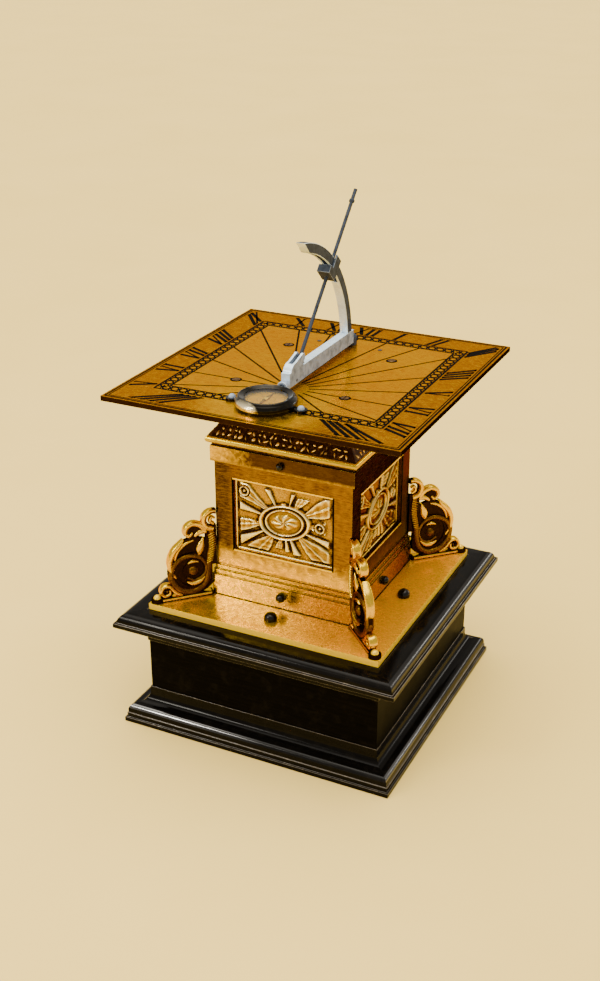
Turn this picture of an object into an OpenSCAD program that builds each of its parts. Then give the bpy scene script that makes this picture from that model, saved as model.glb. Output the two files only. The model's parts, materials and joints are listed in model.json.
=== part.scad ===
// Table sundial: a gilt brass horizontal dial with a compass and a folding steel
// gnomon, on a gilt box with four scroll brackets, on a black wooden plinth.
// Millimetres. The origin is the middle of the plinth's underside, +Z is up,
// -Y is the dial's south side, where the compass is, and +Y is north.

/* [Plinth] */
// Width of the plinth's plain middle, both ways
die_w = 126.4; // [110:0.2:150]
// Height of the wooden plinth
plinth_h = 64.2; // [58:0.2:80]
// Thickness of the plinth's four side boards
board_t = 8; // [5:0.5:12]
// Thickness of the floor board
floor_t = 6; // [4:0.5:10]
// Thickness of the lid board
lid_t = 7; // [5:0.5:10]
// Width of the glue blocks in the four inner corners
block_w = 11; // [8:0.5:16]
// How far the lower moulding stands out
lower_out = 10.8; // [9:0.2:15]
// Height of the lower moulding
lower_h = 18.4; // [15:0.2:24]
// How far the upper moulding stands out
upper_out = 13; // [10.4:0.2:18]
// Height of the upper moulding
upper_h = 18; // [14.4:0.2:24]
// Height of the fillets, the flat bands at the edges of the mouldings
fillet_h = 2.5; // [1.6:0.1:3]

/* [Base plate] */
// How far the gilt base plate's edges lie inside the plinth's plain middle
base_in = 0.5; // [0:0.1:2]
// Thickness of the base plate
base_t = 3.3; // [2:0.1:5]
// Distance of the base plate's screws from its edges
base_screw_in = 12.3; // [7:0.1:15]
// Radius of the base screws' ball heads
base_ball_r = 3.3; // [2.4:0.1:4.5]

/* [Box] */
// Width of the box over its walls, both ways
box_w = 74; // [68:0.5:80]
// Height of the box's walls
box_h = 82; // [72:0.5:100]
// Thickness of the walls
wall_t = 3; // [2:0.1:4]
// Width of the window in each wall
panel_w = 53.5; // [42:0.5:56]
// Height of the windows' lower edge above the base plate
panel_up = 27; // [21:0.5:30]
// Distance of the windows' upper edge below the walls' top
panel_down = 16.5; // [16:0.5:24]
// Thickness of the relief panels' back plate
panel_t = 1.2; // [0.8:0.1:2]
// How far a relief panel reaches behind the wall round its window
panel_lap = 2.5; // [1.5:0.1:4]
// Height of the relief on the panels
relief_h = 1.7; // [1:0.1:2]
// Height of the skirt round the box's foot
skirt_h = 16.8; // [13:0.2:19]
// How far the skirt stands out at its foot
skirt_t = 1.8; // [1.2:0.1:2.4]
// Height of the skirt screws above the base plate
skirt_screw_up = 6.6; // [5.4:0.1:8]
// Radius of the skirt screws' ball heads
skirt_ball_r = 2.4; // [1.8:0.1:3.2]
// Height of the frieze under the cornice
frieze_h = 8; // [6.4:0.1:11]
// Thickness of the frieze
frieze_t = 1.5; // [1:0.1:2]
// Radius of the frieze screws' heads
frieze_ball_r = 2; // [1.4:0.1:2.6]

/* [Cornice] */
// Height of the dark quirk between frieze and edge moulding
quirk_h = 1.5; // [1:0.1:2.4]
// How far the edge moulding stands out from the box's walls
rim_out = 3.2; // [2.4:0.1:5]
// Height of the edge moulding
rim_h = 4; // [3:0.1:5]
// Height of the sloping roof
roof_h = 7.6; // [6:0.1:12]
// Thickness of the roof's plates, measured level
roof_t = 2.6; // [1.6:0.1:4]
// Width of the neck that carries the dial
neck_w = 66; // [58:0.5:72]
// Height of the neck
neck_h = 16.5; // [14:0.1:22]
// Thickness of the neck's wall
neck_t = 2.6; // [2:0.1:4]

/* [Scroll brackets] */
// Thickness of the brackets
scroll_t = 4.2; // [3:0.1:5.4]
// Reach of the volute from the box's corner
scroll_out = 26; // [23:0.2:26.4]
// Radius of the big volute
volute_r = 13.2; // [12:0.1:14]
// Radius of the curl at the top
curl_r = 5.9; // [5.2:0.1:6.6]
// Height of the curl's middle above the base plate
curl_up = 42; // [40:0.2:46]
// Thickness of the foot strip
strip_t = 2; // [1.4:0.1:3]

/* [Dial] */
// Width of the square dial plate
dial_w = 150; // [140:0.5:170]
// Thickness of the dial plate
dial_t = 2.5; // [1.8:0.1:4]
// Distance of the dial screws from the neck's faces
dial_screw_in = 4.5; // [4:0.1:6]
// Radius of the dial screws' heads
dial_head_r = 2; // [1.6:0.1:2.4]
// Sideways place of the two rivets on the dial
rivet_x = 17; // [14:0.5:20]
// Northward place of the two rivets on the dial
rivet_y = 41; // [38:0.5:50]

/* [Compass] */
// Outer radius of the compass
compass_r = 14.7; // [12.6:0.1:17]
// Height of the compass above the dial
compass_h = 5.5; // [4.8:0.1:7]
// Radius of the bezel's opening
sight_r = 10.1; // [8.4:0.1:11]
// Thickness of the bowl's wall
bowl_t = 1.4; // [1:0.1:1.6]
// Thickness of the glass
glass_t = 0.8; // [0.6:0.1:1]
// Half the length of the needle
needle_r = 9; // [7:0.1:9.6]
// Gap between the compass and the gnomon's south lug
compass_gap = 1.4; // [1.2:0.1:3]

/* [Gnomon] */
// Distance of the style's foot south of the dial's middle
foot_south = 25; // [22:0.5:28]
// Height of the folding axis above the dial
axis_up = 3.4; // [3.3:0.1:5]
// Inner radius of the latitude arc
arc_r = 59; // [54:0.5:62]
// Radial width of the latitude arc
arc_w = 5; // [4:0.1:6]
// Thickness of the gnomon's bar and arc, east to west
bar_t = 4.4; // [4:0.1:5]
// Height of the bar above the folding axis
bar_up = 5.4; // [4.6:0.1:7]
// Elevation of the far end of the arc
arc_end = 83; // [81:1:90]
// Elevation of the style above the dial, in degrees
style_angle = 47; // [40:1:70]
// Length of the style from its foot
style_l = 103.4; // [90:0.2:120]
// Radius of the style's rod
style_r = 0.9; // [0.7:0.05:1]
// Radius of the pins that the gnomon folds on
pin_r = 0.8; // [0.6:0.05:0.9]
// Thickness of the two lugs along the pin
lug_t = 3.5; // [2.5:0.1:4.5]

/* [Clearances] */
// Gap round pins that pieces turn on
running_gap = 0.05; // [0.03:0.01:0.08]
// Gap round screws, tenons and let-in pieces
screw_gap = 0.05; // [0.02:0.01:0.1]
// Gap between faces that slide past each other
slide_gap = 0.3; // [0.2:0.05:0.4]

/* [Hidden] */
$fn = 64;
// How far a cutter reaches past the face it cuts
past = 0.5;

// Heights of the main joints, from the plinth up
die_half = die_w / 2;
base_half = die_half - base_in;
base_screw_at = base_half - base_screw_in;
lid_z = plinth_h - lid_t;
plate_z = plinth_h + base_t;
wall_top = plate_z + box_h;
rim_z = wall_top + quirk_h;
roof_z = rim_z + rim_h;
neck_z = roof_z + roof_h;
dial_z = neck_z + neck_h;
dial_top = dial_z + dial_t;
box_half = box_w / 2;
box_in = box_half - wall_t;
panel_h = box_h - panel_up - panel_down;
rim_half = box_half + rim_out;
neck_half = neck_w / 2;

// Plinth moulding details
quirk_w = 0.6;
step_in = 1;
lower_round_r = 3.3;
lower_round_x = lower_out - step_in - 0.4 - lower_round_r;
lower_round_z = 2 * fillet_h + 1.4;
shoulder_z = lower_round_z + lower_round_r;
lower_cove_r = min(lower_round_x - quirk_w, lower_h - shoulder_z - 1);
upper_round_r = 4.8;
upper_round_x = upper_out - 1.4 - upper_round_r;
upper_fillet_z = upper_h - upper_round_r - fillet_h;
soffit_r = min(upper_out - 3.5, upper_fillet_z - 1);

// Screws
base_shank_r = 1.6;
base_ball_up = 0.9;
inner_screw_at = 21;
skirt_shank_r = 1.2;
frieze_shank_r = 1;
scroll_shank_r = 0.9;
dial_shank_r = 1.3;
dial_shank_l = 7;
dial_head_t = 0.9;
dial_head_proud = 0.2;
driver_slot = 0.5;
rivet_r = 1.1;
rivet_head_r = 1.8;
rivet_head_t = 0.8;
rivet_proud = 0.15;
// Depth of the fixing rims that the side screws reach into
rim_t = 7;
tray_h = 11;
tray_t = 3;

// Scroll bracket, as distance from the axis along the diagonal and height above the plate
wall_corner = box_half * sqrt(2);
skirt_corner = (box_half + skirt_t) * sqrt(2);
scroll_seat = 0.3;
volute_x = wall_corner + scroll_out - volute_r;
volute_up = strip_t + volute_r - 0.2;
breast_r = volute_r + 0.4;
breast_up = volute_up + 4.9;
curl_x = wall_corner + 1.9;
bud_r = 4.2;
bud_up = breast_up + breast_r + bud_r - 0.6;
pad_r = 3.1;
pad_x = base_half * sqrt(2) - pad_r - 1.4;
foot_curl_r = 3.8;
foot_x = pad_x - foot_curl_r - 1.1;
pocket_depth = 1.1;

// Gnomon
axis_z = dial_top + axis_up;
arc_out = arc_r + arc_w;
bar_down = 1.6;
bar_south = 7.6;
bar_north = arc_out + 2.2;
lug_half = 2.5;
lug_south = foot_south + bar_south + slide_gap + lug_t / 2;
lug_north = bar_north - foot_south + slide_gap + lug_t / 2;
tenon_r = 1.4;
pin_in = 3.6;
slot_w = 2 * style_r + 0.4;
tongue_t = slot_w - 0.4;
tongue_r = 2.2;
tongue_l = 12;
fork_r = bar_up - 0.2;
fork_foot = [-1.2, 3.7];
fork_tip = [7, 9.2];
fork_tip_r = 2;
fork_slot_l = 11;
style_pin_r = 0.8;
slot_low = 36;
slot_high = 76;
clip_t = 0.8;

// Compass, south of the south lug and clear of its pin's head
compass_y = -(lug_south + lug_t / 2 + compass_gap + compass_r);
bowl_r = compass_r - 0.9;
bowl_in = bowl_r - bowl_t;
glass_up = compass_h - 1.1 - glass_t;
card_up = glass_up - 1.5;
card_t = 0.4;
needle_up = card_up + card_t + 0.2;
needle_t = 0.3;
pivot_r = 0.4;
ear_r = 3;
ear_x = compass_r + 2.9;
foot_t = 1.2;
compass_shank_r = 0.8;
compass_ball_r = 1.7;
compass_shank_out = 0.5;

module side(k) {
    rotate([0, 0, 90 * k]) children();
}

// The wedge between the axis and the south side, which mitres a length at its corners
module wedge(reach, low, high) {
    translate([0, 0, low])
        linear_extrude(high - low)
            polygon([[0, 0], [-reach, -reach], [reach, -reach]]);
}

// A length along the south side. The section's x is the distance from the axis
module mitred(reach, low, high) {
    intersection() {
        translate([-reach, 0, low])
            rotate([90, 0, 90])
                linear_extrude(2 * reach)
                    mirror([1, 0]) children();
        wedge(reach + 1, low - 1, high + 1);
    }
}

// A square frame of one section, mitred at the corners
module framed(reach, low, high) {
    for (k = [0:3]) {
        side(k) mitred(reach, low, high) children();
    }
}

module square_block(half, low, high) {
    translate([-half, -half, low]) cube([2 * half, 2 * half, high - low]);
}

module square_ring(outer, inner, low, high) {
    difference() {
        square_block(outer, low, high);
        square_block(inner, low - past, high + past);
    }
}

// A ball-headed screw pointing down from z = 0, the ball's middle at ball_up
module ball_screw(ball_r, ball_up, shank_r, shank_l) {
    intersection() {
        translate([0, 0, ball_up]) sphere(ball_r);
        translate([0, 0, ball_r + ball_up]) cube(2 * (ball_r + ball_up), center = true);
    }
    translate([0, 0, -shank_l]) cylinder(r = shank_r, h = shank_l + past);
}

// A screw lying in the middle of the south side, its head on the face at y = -face
module side_screw(face, up, ball_r, shank_r, shank_l) {
    translate([0, -face, up])
        rotate([90, 0, 0])
            ball_screw(ball_r, 0.35 * ball_r, shank_r, shank_l);
}

module side_hole(face, up, r, depth) {
    translate([0, -face - past, up])
        rotate([-90, 0, 0])
            cylinder(r = r, h = depth + past);
}

// Sections of the plinth's mouldings, x outwards from the plain middle
module lower_section() {
    square([lower_out, fillet_h]);
    square([lower_out - step_in, 2 * fillet_h]);
    square([lower_round_x + lower_round_r, lower_round_z]);
    translate([lower_round_x, lower_round_z]) circle(lower_round_r);
    square([quirk_w, lower_h]);
    difference() {
        square([lower_round_x, shoulder_z + lower_cove_r]);
        translate([quirk_w + lower_cove_r, shoulder_z + lower_cove_r]) circle(lower_cove_r);
        translate([quirk_w + lower_cove_r, shoulder_z]) square([lower_out, lower_cove_r + 1]);
    }
}

module upper_section() {
    difference() {
        square([quirk_w + soffit_r, upper_fillet_z]);
        translate([quirk_w + soffit_r, upper_fillet_z - soffit_r]) circle(soffit_r);
        translate([quirk_w, -past]) square([soffit_r + 1, upper_fillet_z - soffit_r + past]);
    }
    translate([0, upper_fillet_z]) square([upper_out, fillet_h]);
    translate([0, upper_fillet_z]) square([upper_round_x, upper_h - upper_fillet_z]);
    intersection() {
        translate([upper_round_x, upper_fillet_z + fillet_h]) circle(upper_round_r);
        translate([0, upper_fillet_z]) square([upper_out, upper_h]);
    }
}

module plinth_board(k) {
    color([0.05, 0.045, 0.04])
        side(k)
            linear_extrude(lid_z)
                polygon([
                    [-die_half, -die_half], [die_half, -die_half],
                    [die_half - board_t, -die_half + board_t],
                    [-die_half + board_t, -die_half + board_t]
                ]);
}

module lower_moulding(k) {
    color([0.06, 0.05, 0.045])
        side(k)
            mitred(die_half + lower_out, 0, lower_h)
                translate([die_half, 0]) lower_section();
}

module upper_moulding(k) {
    color([0.06, 0.05, 0.045])
        side(k)
            mitred(die_half + upper_out, plinth_h - upper_h, plinth_h)
                translate([die_half, 0]) upper_section();
}

module plinth_floor_board() {
    color([0.3, 0.2, 0.12]) square_block(die_half - board_t, 0, floor_t);
}

module plinth_lid_board() {
    color([0.07, 0.06, 0.05])
        difference() {
            square_block(die_half, lid_z, plinth_h);
            base_screw_places() translate([0, 0, lid_z - past])
                cylinder(r = base_shank_r + screw_gap, h = lid_t + 2 * past);
            inner_screw_places() translate([0, 0, lid_z - past])
                cylinder(r = base_shank_r + screw_gap, h = lid_t + 2 * past);
            scroll_places() translate([pad_x, 0, lid_z - past])
                cylinder(r = scroll_shank_r + screw_gap, h = lid_t + 2 * past);
        }
}

module plinth_glue_blocks() {
    color([0.35, 0.24, 0.14])
        for (k = [0:3]) {
            side(k)
                translate([
                    -(die_half - board_t), -(die_half - board_t), floor_t
                ]) cube([block_w, block_w, lid_z - floor_t]);
        }
}

module base_screw_places() {
    for (k = [0:3]) {
        side(k) translate([0, -base_screw_at, 0]) children();
    }
}

module inner_screw_places() {
    for (k = [0:3]) {
        side(k) translate([-inner_screw_at, -inner_screw_at, 0]) children();
    }
}

// The four diagonals that the scroll brackets stand on, each turned to +X
module scroll_places() {
    for (k = [0:3]) {
        rotate([0, 0, 45 + 90 * k]) children();
    }
}

module base_plate() {
    color([0.85, 0.62, 0.2])
        difference() {
            square_block(base_half, plinth_h, plate_z);
            base_screw_places() translate([0, 0, plinth_h - past])
                cylinder(r = base_shank_r + screw_gap, h = base_t + 2 * past);
            inner_screw_places() translate([0, 0, plinth_h - past])
                cylinder(r = base_shank_r + screw_gap, h = base_t + 2 * past);
            scroll_places() translate([pad_x, 0, plinth_h - past])
                cylinder(r = scroll_shank_r + screw_gap, h = base_t + 2 * past);
        }
}

module base_plate_screws() {
    color([0.12, 0.1, 0.07])
        base_screw_places()
            translate([0, 0, plate_z])
                ball_screw(base_ball_r, base_ball_up, base_shank_r, base_t + lid_t - 1);
}

// A tray inside the box's foot: the skirt screws reach into its rim
module box_floor() {
    color([0.7, 0.52, 0.2])
        difference() {
            square_block(box_in - screw_gap, plate_z, plate_z + tray_h);
            square_block(box_in - rim_t, plate_z + tray_t, plate_z + tray_h + past);
            inner_screw_places() translate([0, 0, plate_z - past])
                cylinder(r = base_shank_r + screw_gap, h = tray_t + 2 * past);
            for (k = [0:3]) {
                side(k)
                    side_hole(box_in, plate_z + skirt_screw_up, skirt_shank_r + screw_gap, rim_t + 2 * past);
            }
        }
}

module box_floor_screws() {
    color([0.35, 0.34, 0.32])
        inner_screw_places()
            translate([0, 0, plate_z + tray_t])
                ball_screw(2.8, 0, base_shank_r, tray_t + base_t + lid_t - 1);
}

module box_wall(k) {
    color([0.83, 0.58, 0.17])
        side(k)
            difference() {
                translate([0, 0, plate_z])
                    linear_extrude(box_h)
                        polygon([
                            [-box_half, -box_half], [box_half, -box_half],
                            [box_in, -box_in], [-box_in, -box_in]
                        ]);
                translate([-panel_w / 2, -box_half - past, plate_z + panel_up])
                    cube([panel_w, wall_t + 2 * past, panel_h]);
                side_hole(box_half, plate_z + skirt_screw_up, skirt_shank_r + screw_gap, wall_t + past);
                side_hole(box_half, wall_top - frieze_h / 2, frieze_shank_r + screw_gap, wall_t + past);
            }
}

// Half the length of a relief ray, so that it ends inside the panel's raised edge
function ray_reach(a) = min(
    (panel_w / 2 - 4) / max(abs(cos(a)), 0.01),
    (panel_h / 2 - 4) / max(abs(sin(a)), 0.01)
);

// An oval boss with rays and a raised edge, lying in the XY plane
module relief() {
    rays = 16;
    boss_x = 10.5;
    boss_y = 6.5;
    difference() {
        translate([-panel_w / 2 + screw_gap, -panel_h / 2 + screw_gap, 0])
            cube([panel_w - 2 * screw_gap, panel_h - 2 * screw_gap, 0.9]);
        translate([-panel_w / 2 + 1.6, -panel_h / 2 + 1.6, -past])
            cube([panel_w - 3.2, panel_h - 3.2, 0.9 + 2 * past]);
    }
    scale([boss_x / boss_y, 1, 1]) cylinder(r = boss_y, h = 0.6 * relief_h);
    scale([boss_x / boss_y, 1, 1])
        difference() {
            cylinder(r = boss_y - 0.8, h = relief_h);
            translate([0, 0, -past]) cylinder(r = boss_y - 2.2, h = relief_h + 2 * past);
        }
    scale([boss_x / boss_y, 1, 1]) cylinder(r = 2.6, h = relief_h);
    for (i = [0:rays - 1]) {
        a = 360 * (i + 0.5) / rays;
        rotate([0, 0, a])
            linear_extrude(0.5 * relief_h)
                polygon([[4, 0], [ray_reach(a) * 0.62, 1.7], [ray_reach(a), 0], [ray_reach(a) * 0.62, -1.7]]);
    }
}

module relief_panel(k) {
    color([0.9, 0.68, 0.28])
        side(k)
            translate([0, -box_in, plate_z + panel_up + panel_h / 2])
                rotate([90, 0, 0]) {
                    translate([-panel_w / 2 - panel_lap, -panel_h / 2 - panel_lap, -panel_t])
                        cube([panel_w + 2 * panel_lap, panel_h + 2 * panel_lap, panel_t]);
                    relief();
                }
}

// Three steps, lowest one widest
module skirt_band() {
    color([0.85, 0.6, 0.18])
        difference() {
            for (i = [0:2]) {
                square_ring(
                    box_half + skirt_t * (3 - i) / 3, box_half,
                    plate_z, plate_z + skirt_h * [0.68, 0.84, 1][i]
                );
            }
            for (k = [0:3]) {
                side(k)
                    side_hole(
                        box_half + skirt_t, plate_z + skirt_screw_up,
                        skirt_shank_r + screw_gap, skirt_t + past
                    );
            }
        }
}

module skirt_screws() {
    color([0.12, 0.1, 0.07])
        for (k = [0:3]) {
            side(k)
                side_screw(
                    box_half + skirt_t, plate_z + skirt_screw_up,
                    skirt_ball_r, skirt_shank_r, skirt_t + wall_t + rim_t - 2
                );
        }
}

// Closes the box's top: a plate with a rim that the frieze screws reach into
module box_top_frame() {
    color([0.3, 0.2, 0.09])
        difference() {
            union() {
                square_ring(box_half + frieze_t / 2, neck_half - neck_t - rim_t, wall_top, rim_z);
                square_ring(box_in - screw_gap, box_in - rim_t, wall_top - frieze_h, wall_top);
            }
            for (k = [0:3]) {
                side(k)
                    side_hole(box_in, wall_top - frieze_h / 2, frieze_shank_r + screw_gap, rim_t + 2 * past);
            }
        }
}

module frieze_band() {
    color([0.86, 0.62, 0.2])
        difference() {
            square_ring(box_half + frieze_t, box_half, wall_top - frieze_h, wall_top);
            for (k = [0:3]) {
                side(k)
                    side_hole(
                        box_half + frieze_t, wall_top - frieze_h / 2,
                        frieze_shank_r + screw_gap, frieze_t + past
                    );
            }
        }
}

module frieze_screws() {
    color([0.12, 0.1, 0.07])
        for (k = [0:3]) {
            side(k)
                side_screw(
                    box_half + frieze_t, wall_top - frieze_h / 2,
                    frieze_ball_r, frieze_shank_r, frieze_t + wall_t + rim_t - 2
                );
        }
}

// A round-nosed moulding round the cornice's edge
module cornice_moulding() {
    color([0.9, 0.7, 0.26])
        framed(rim_half, rim_z, roof_z) {
            translate([rim_half - rim_h / 2, rim_h / 2]) circle(rim_h / 2);
            translate([neck_half - neck_t - 1, 0])
                square([rim_half - rim_h / 2 - neck_half + neck_t + 1, rim_h]);
        }
}

// Four sloping plates, mitred at the hips
module cornice_roof() {
    foot = rim_half - rim_h / 2 + 1;
    color([0.28, 0.16, 0.07])
        framed(rim_half, roof_z, neck_z)
            polygon([[foot - roof_t, 0], [foot, 0], [neck_half, roof_h], [neck_half - roof_t, roof_h]]);
}

module dial_screw_places() {
    for (k = [0:3]) {
        side(k) translate([-neck_half + dial_screw_in, -neck_half + dial_screw_in, 0]) children();
    }
}

// A hollow neck with a cove under the dial and a boss for each dial screw
module dial_neck() {
    band_h = 2;
    cove_r = 2.6;
    boss_h = 9;
    color([0.3, 0.18, 0.08])
        difference() {
            union() {
                framed(neck_half + 1, neck_z, dial_z) {
                    translate([neck_half - neck_t, 0]) square([neck_t, band_h]);
                    translate([neck_half - neck_t, 0]) square([neck_t - 0.8, neck_h]);
                    translate([neck_half - neck_t, neck_h - band_h]) square([neck_t + 1, band_h]);
                    difference() {
                        translate([neck_half - 1, neck_h - band_h - cove_r]) square([cove_r - 0.8, cove_r]);
                        translate([neck_half - 0.8 + cove_r, neck_h - band_h - cove_r]) circle(cove_r);
                    }
                }
                dial_screw_places() translate([0, 0, dial_z - boss_h]) cylinder(r = 3.6, h = boss_h);
            }
            dial_screw_places() translate([0, 0, dial_z - boss_h - past])
                cylinder(r = dial_shank_r + screw_gap, h = boss_h + 2 * past);
        }
}

// Two discs joined by a tapering bar
module strap(a, b, ra, rb) {
    along = (b - a) / norm(b - a);
    left = 0.98 * [-along.y, along.x];
    translate(a) circle(ra);
    translate(b) circle(rb);
    polygon([a - ra * left, b - rb * left, b + rb * left, a + ra * left]);
}

// Side view of a scroll bracket, x from the axis along the diagonal, y up from the base plate
module scroll_outline() {
    difference() {
        union() {
            translate([volute_x, volute_up]) circle(volute_r);
            translate([volute_x - 0.5, breast_up]) circle(breast_r);
            // Stem along the box's corner, with the curl at its top
            translate([wall_corner, volute_up]) square([6, curl_up - volute_up - 4]);
            difference() {
                translate([curl_x, curl_up]) circle(curl_r);
                translate([curl_x, curl_up]) circle(curl_r - 2.6);
                translate([curl_x - 4, curl_up - 2.2]) square([4, 4.4]);
            }
            strap([curl_x + curl_r - 1, curl_up - 3.4], [volute_x, bud_up], 2.8, bud_r);
            // Foot strip and the small curl on it
            translate([wall_corner, 0]) square([pad_x - wall_corner, strip_t]);
            translate([volute_x - 5, 0]) square([10, volute_up]);
            difference() {
                translate([foot_x, strip_t + foot_curl_r - 0.3]) circle(foot_curl_r);
                translate([foot_x, strip_t + foot_curl_r - 0.3]) circle(1.2);
            }
        }
        translate([0, -past]) square([wall_corner + scroll_seat, box_h]);
        translate([0, -past]) square([skirt_corner + scroll_seat, skirt_h + scroll_seat + past]);
    }
}

// The hollows in both faces: a groove round the volute's eye and one inside the breast
module scroll_hollows() {
    difference() {
        translate([volute_x, volute_up]) circle(volute_r - 4.6);
        translate([volute_x, volute_up]) circle(volute_r - 7.8);
    }
    difference() {
        translate([volute_x - 0.5, breast_up]) circle(breast_r - 2.8);
        translate([volute_x, volute_up]) circle(volute_r - 2.9);
        translate([wall_corner, volute_up]) square([7.5, 2 * breast_r]);
    }
}

module scroll_bracket(k) {
    color([0.82, 0.58, 0.18])
        rotate([0, 0, 45 + 90 * k])
            translate([0, 0, plate_z])
                difference() {
                    union() {
                        rotate([90, 0, 0]) linear_extrude(scroll_t, center = true) scroll_outline();
                        translate([pad_x, 0, 0]) cylinder(r = pad_r, h = strip_t);
                    }
                    for (s = [-1, 1]) {
                        translate([0, s * (scroll_t / 2 + past - pocket_depth / 2), 0])
                            rotate([90, 0, 0])
                                linear_extrude(pocket_depth + 2 * past, center = true) scroll_hollows();
                    }
                    translate([pad_x, 0, -past]) cylinder(r = scroll_shank_r + screw_gap, h = strip_t + 2 * past);
                    translate([pad_x, 0, strip_t]) cylinder(r = 2 + screw_gap, h = 4);
                }
}

module scroll_screws() {
    color([0.88, 0.68, 0.28])
        scroll_places()
            translate([pad_x, 0, plate_z + strip_t])
                ball_screw(1.9, 0, scroll_shank_r, strip_t + base_t + lid_t - 2);
}

module rivet_places() {
    for (s = [-1, 1]) {
        translate([s * rivet_x, rivet_y, 0]) children();
    }
}

module ear_places() {
    for (s = [-1, 1]) {
        translate([s * ear_x, compass_y, 0]) children();
    }
}

module tenon_places() {
    for (y = [-lug_south, lug_north]) {
        translate([0, y, 0]) children();
    }
}

module dial_plate() {
    color([0.86, 0.62, 0.22])
        difference() {
            square_block(dial_w / 2, dial_z, dial_top);
            dial_screw_places() {
                translate([0, 0, dial_z - past]) cylinder(r = dial_shank_r + screw_gap, h = dial_t + 2 * past);
                translate([0, 0, dial_top - dial_head_t])
                    cylinder(r = dial_head_r + screw_gap, h = dial_head_t + past);
            }
            rivet_places() translate([0, 0, dial_z - past])
                cylinder(r = rivet_r + screw_gap, h = dial_t + 2 * past);
            ear_places() translate([0, 0, dial_z - past])
                cylinder(r = compass_shank_r + screw_gap, h = dial_t + 2 * past);
            tenon_places() translate([0, 0, dial_z - past])
                cylinder(r = tenon_r + screw_gap, h = dial_t + 2 * past);
        }
}

// Flush heads with a driver slot
module dial_screws() {
    color([0.16, 0.12, 0.07])
        dial_screw_places()
            difference() {
                union() {
                    translate([0, 0, dial_top - dial_head_t])
                        cylinder(r = dial_head_r, h = dial_head_t + dial_head_proud);
                    translate([0, 0, dial_z - dial_shank_l])
                        cylinder(r = dial_shank_r, h = dial_shank_l + dial_t - dial_head_t / 2);
                }
                translate([-2 * dial_head_r, -driver_slot / 2, dial_top - dial_head_t / 4])
                    cube([4 * dial_head_r, driver_slot, dial_head_t]);
            }
}

module dial_rivets() {
    color([0.16, 0.12, 0.07])
        rivet_places() {
            translate([0, 0, dial_z]) cylinder(r = rivet_r, h = dial_t + rivet_proud);
            translate([0, 0, dial_z - rivet_head_t]) cylinder(r = rivet_head_r, h = rivet_head_t);
        }
}

module compass_bowl() {
    color([0.72, 0.52, 0.2])
        translate([0, compass_y, dial_top]) {
            rotate_extrude()
                polygon([
                    [0, 0], [compass_r - 0.2, 0], [compass_r - 0.2, foot_t], [bowl_r, foot_t],
                    [bowl_r, glass_up], [bowl_in, glass_up], [bowl_in, card_up], [0, card_up]
                ]);
            for (s = [-1, 1]) {
                difference() {
                    union() {
                        translate([s * ear_x, 0, 0]) cylinder(r = ear_r, h = foot_t);
                        translate([s > 0 ? bowl_r : -ear_x, -2, 0]) cube([ear_x - bowl_r, 4, foot_t]);
                    }
                    translate([s * ear_x, 0, -past]) cylinder(r = compass_shank_r + screw_gap, h = 3);
                }
            }
        }
}

module compass_card() {
    color([0.88, 0.66, 0.26])
        translate([0, compass_y, dial_top + card_up])
            difference() {
                cylinder(r = bowl_in - screw_gap, h = card_t);
                translate([0, 0, -past]) cylinder(r = 0.8 + screw_gap, h = 2);
            }
}

// A stepped pin: a seat in the card's hole, then the point that the hub turns on
module compass_pivot() {
    color([0.6, 0.6, 0.6])
        translate([0, compass_y, dial_top + card_up]) {
            cylinder(r = 0.8, h = 0.3);
            cylinder(r = pivot_r, h = needle_up - card_up + 0.3);
        }
}

module compass_needle() {
    color([0.55, 0.6, 0.68])
        translate([0, compass_y, dial_top + needle_up])
            difference() {
                linear_extrude(needle_t) polygon([[0, needle_r], [-1.1, 0], [0, -needle_r], [1.1, 0]]);
                translate([0, 0, -past]) cylinder(r = 0.75, h = 2);
            }
}

module needle_hub() {
    color([0.8, 0.62, 0.25])
        translate([0, compass_y, dial_top + needle_up])
            difference() {
                union() {
                    cylinder(r = 0.75, h = needle_t + 0.1);
                    translate([0, 0, needle_t]) cylinder(r = 1, h = 0.3);
                }
                translate([0, 0, -past]) cylinder(r = pivot_r + running_gap, h = past + 0.35);
            }
}

module compass_glass() {
    color([0.85, 0.92, 0.95, 0.3])
        translate([0, compass_y, dial_top + glass_up])
            cylinder(r = bowl_r - screw_gap, h = glass_t);
}

// A dark turned ring over the bowl and the glass, its top sloping in to the opening
module compass_bezel() {
    lip_z = glass_up + glass_t;
    color([0.14, 0.12, 0.09])
        translate([0, compass_y, dial_top])
            rotate_extrude()
                polygon([
                    [bowl_r + screw_gap, foot_t], [compass_r - 0.2, foot_t], [compass_r, foot_t + 0.4],
                    [compass_r, lip_z - 0.4], [compass_r - 1.2, compass_h - 0.2],
                    [compass_r - 2.2, compass_h], [sight_r + 1, compass_h - 0.3],
                    [sight_r, lip_z], [bowl_r + screw_gap, lip_z]
                ]);
}

module compass_screws() {
    color([0.85, 0.84, 0.8])
        ear_places()
            translate([0, 0, dial_top + foot_t])
                ball_screw(compass_ball_r, 0, compass_shank_r, foot_t + dial_t + compass_shank_out);
}

// A round-topped lug with the pin's bore and a tenon through the dial
module lug() {
    difference() {
        union() {
            translate([-lug_half, -lug_t / 2, dial_top]) cube([2 * lug_half, lug_t, axis_up]);
            translate([0, lug_t / 2, axis_z]) rotate([90, 0, 0]) cylinder(r = lug_half, h = lug_t);
            translate([0, 0, dial_z]) cylinder(r = tenon_r, h = dial_t + 1);
        }
        translate([0, lug_t / 2 + past, axis_z])
            rotate([90, 0, 0]) cylinder(r = pin_r + screw_gap, h = lug_t + 2 * past);
    }
}

module south_lug() {
    color([0.8, 0.8, 0.78]) translate([0, -lug_south, 0]) lug();
}

module north_lug() {
    color([0.3, 0.29, 0.27]) translate([0, lug_north, 0]) lug();
}

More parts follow.
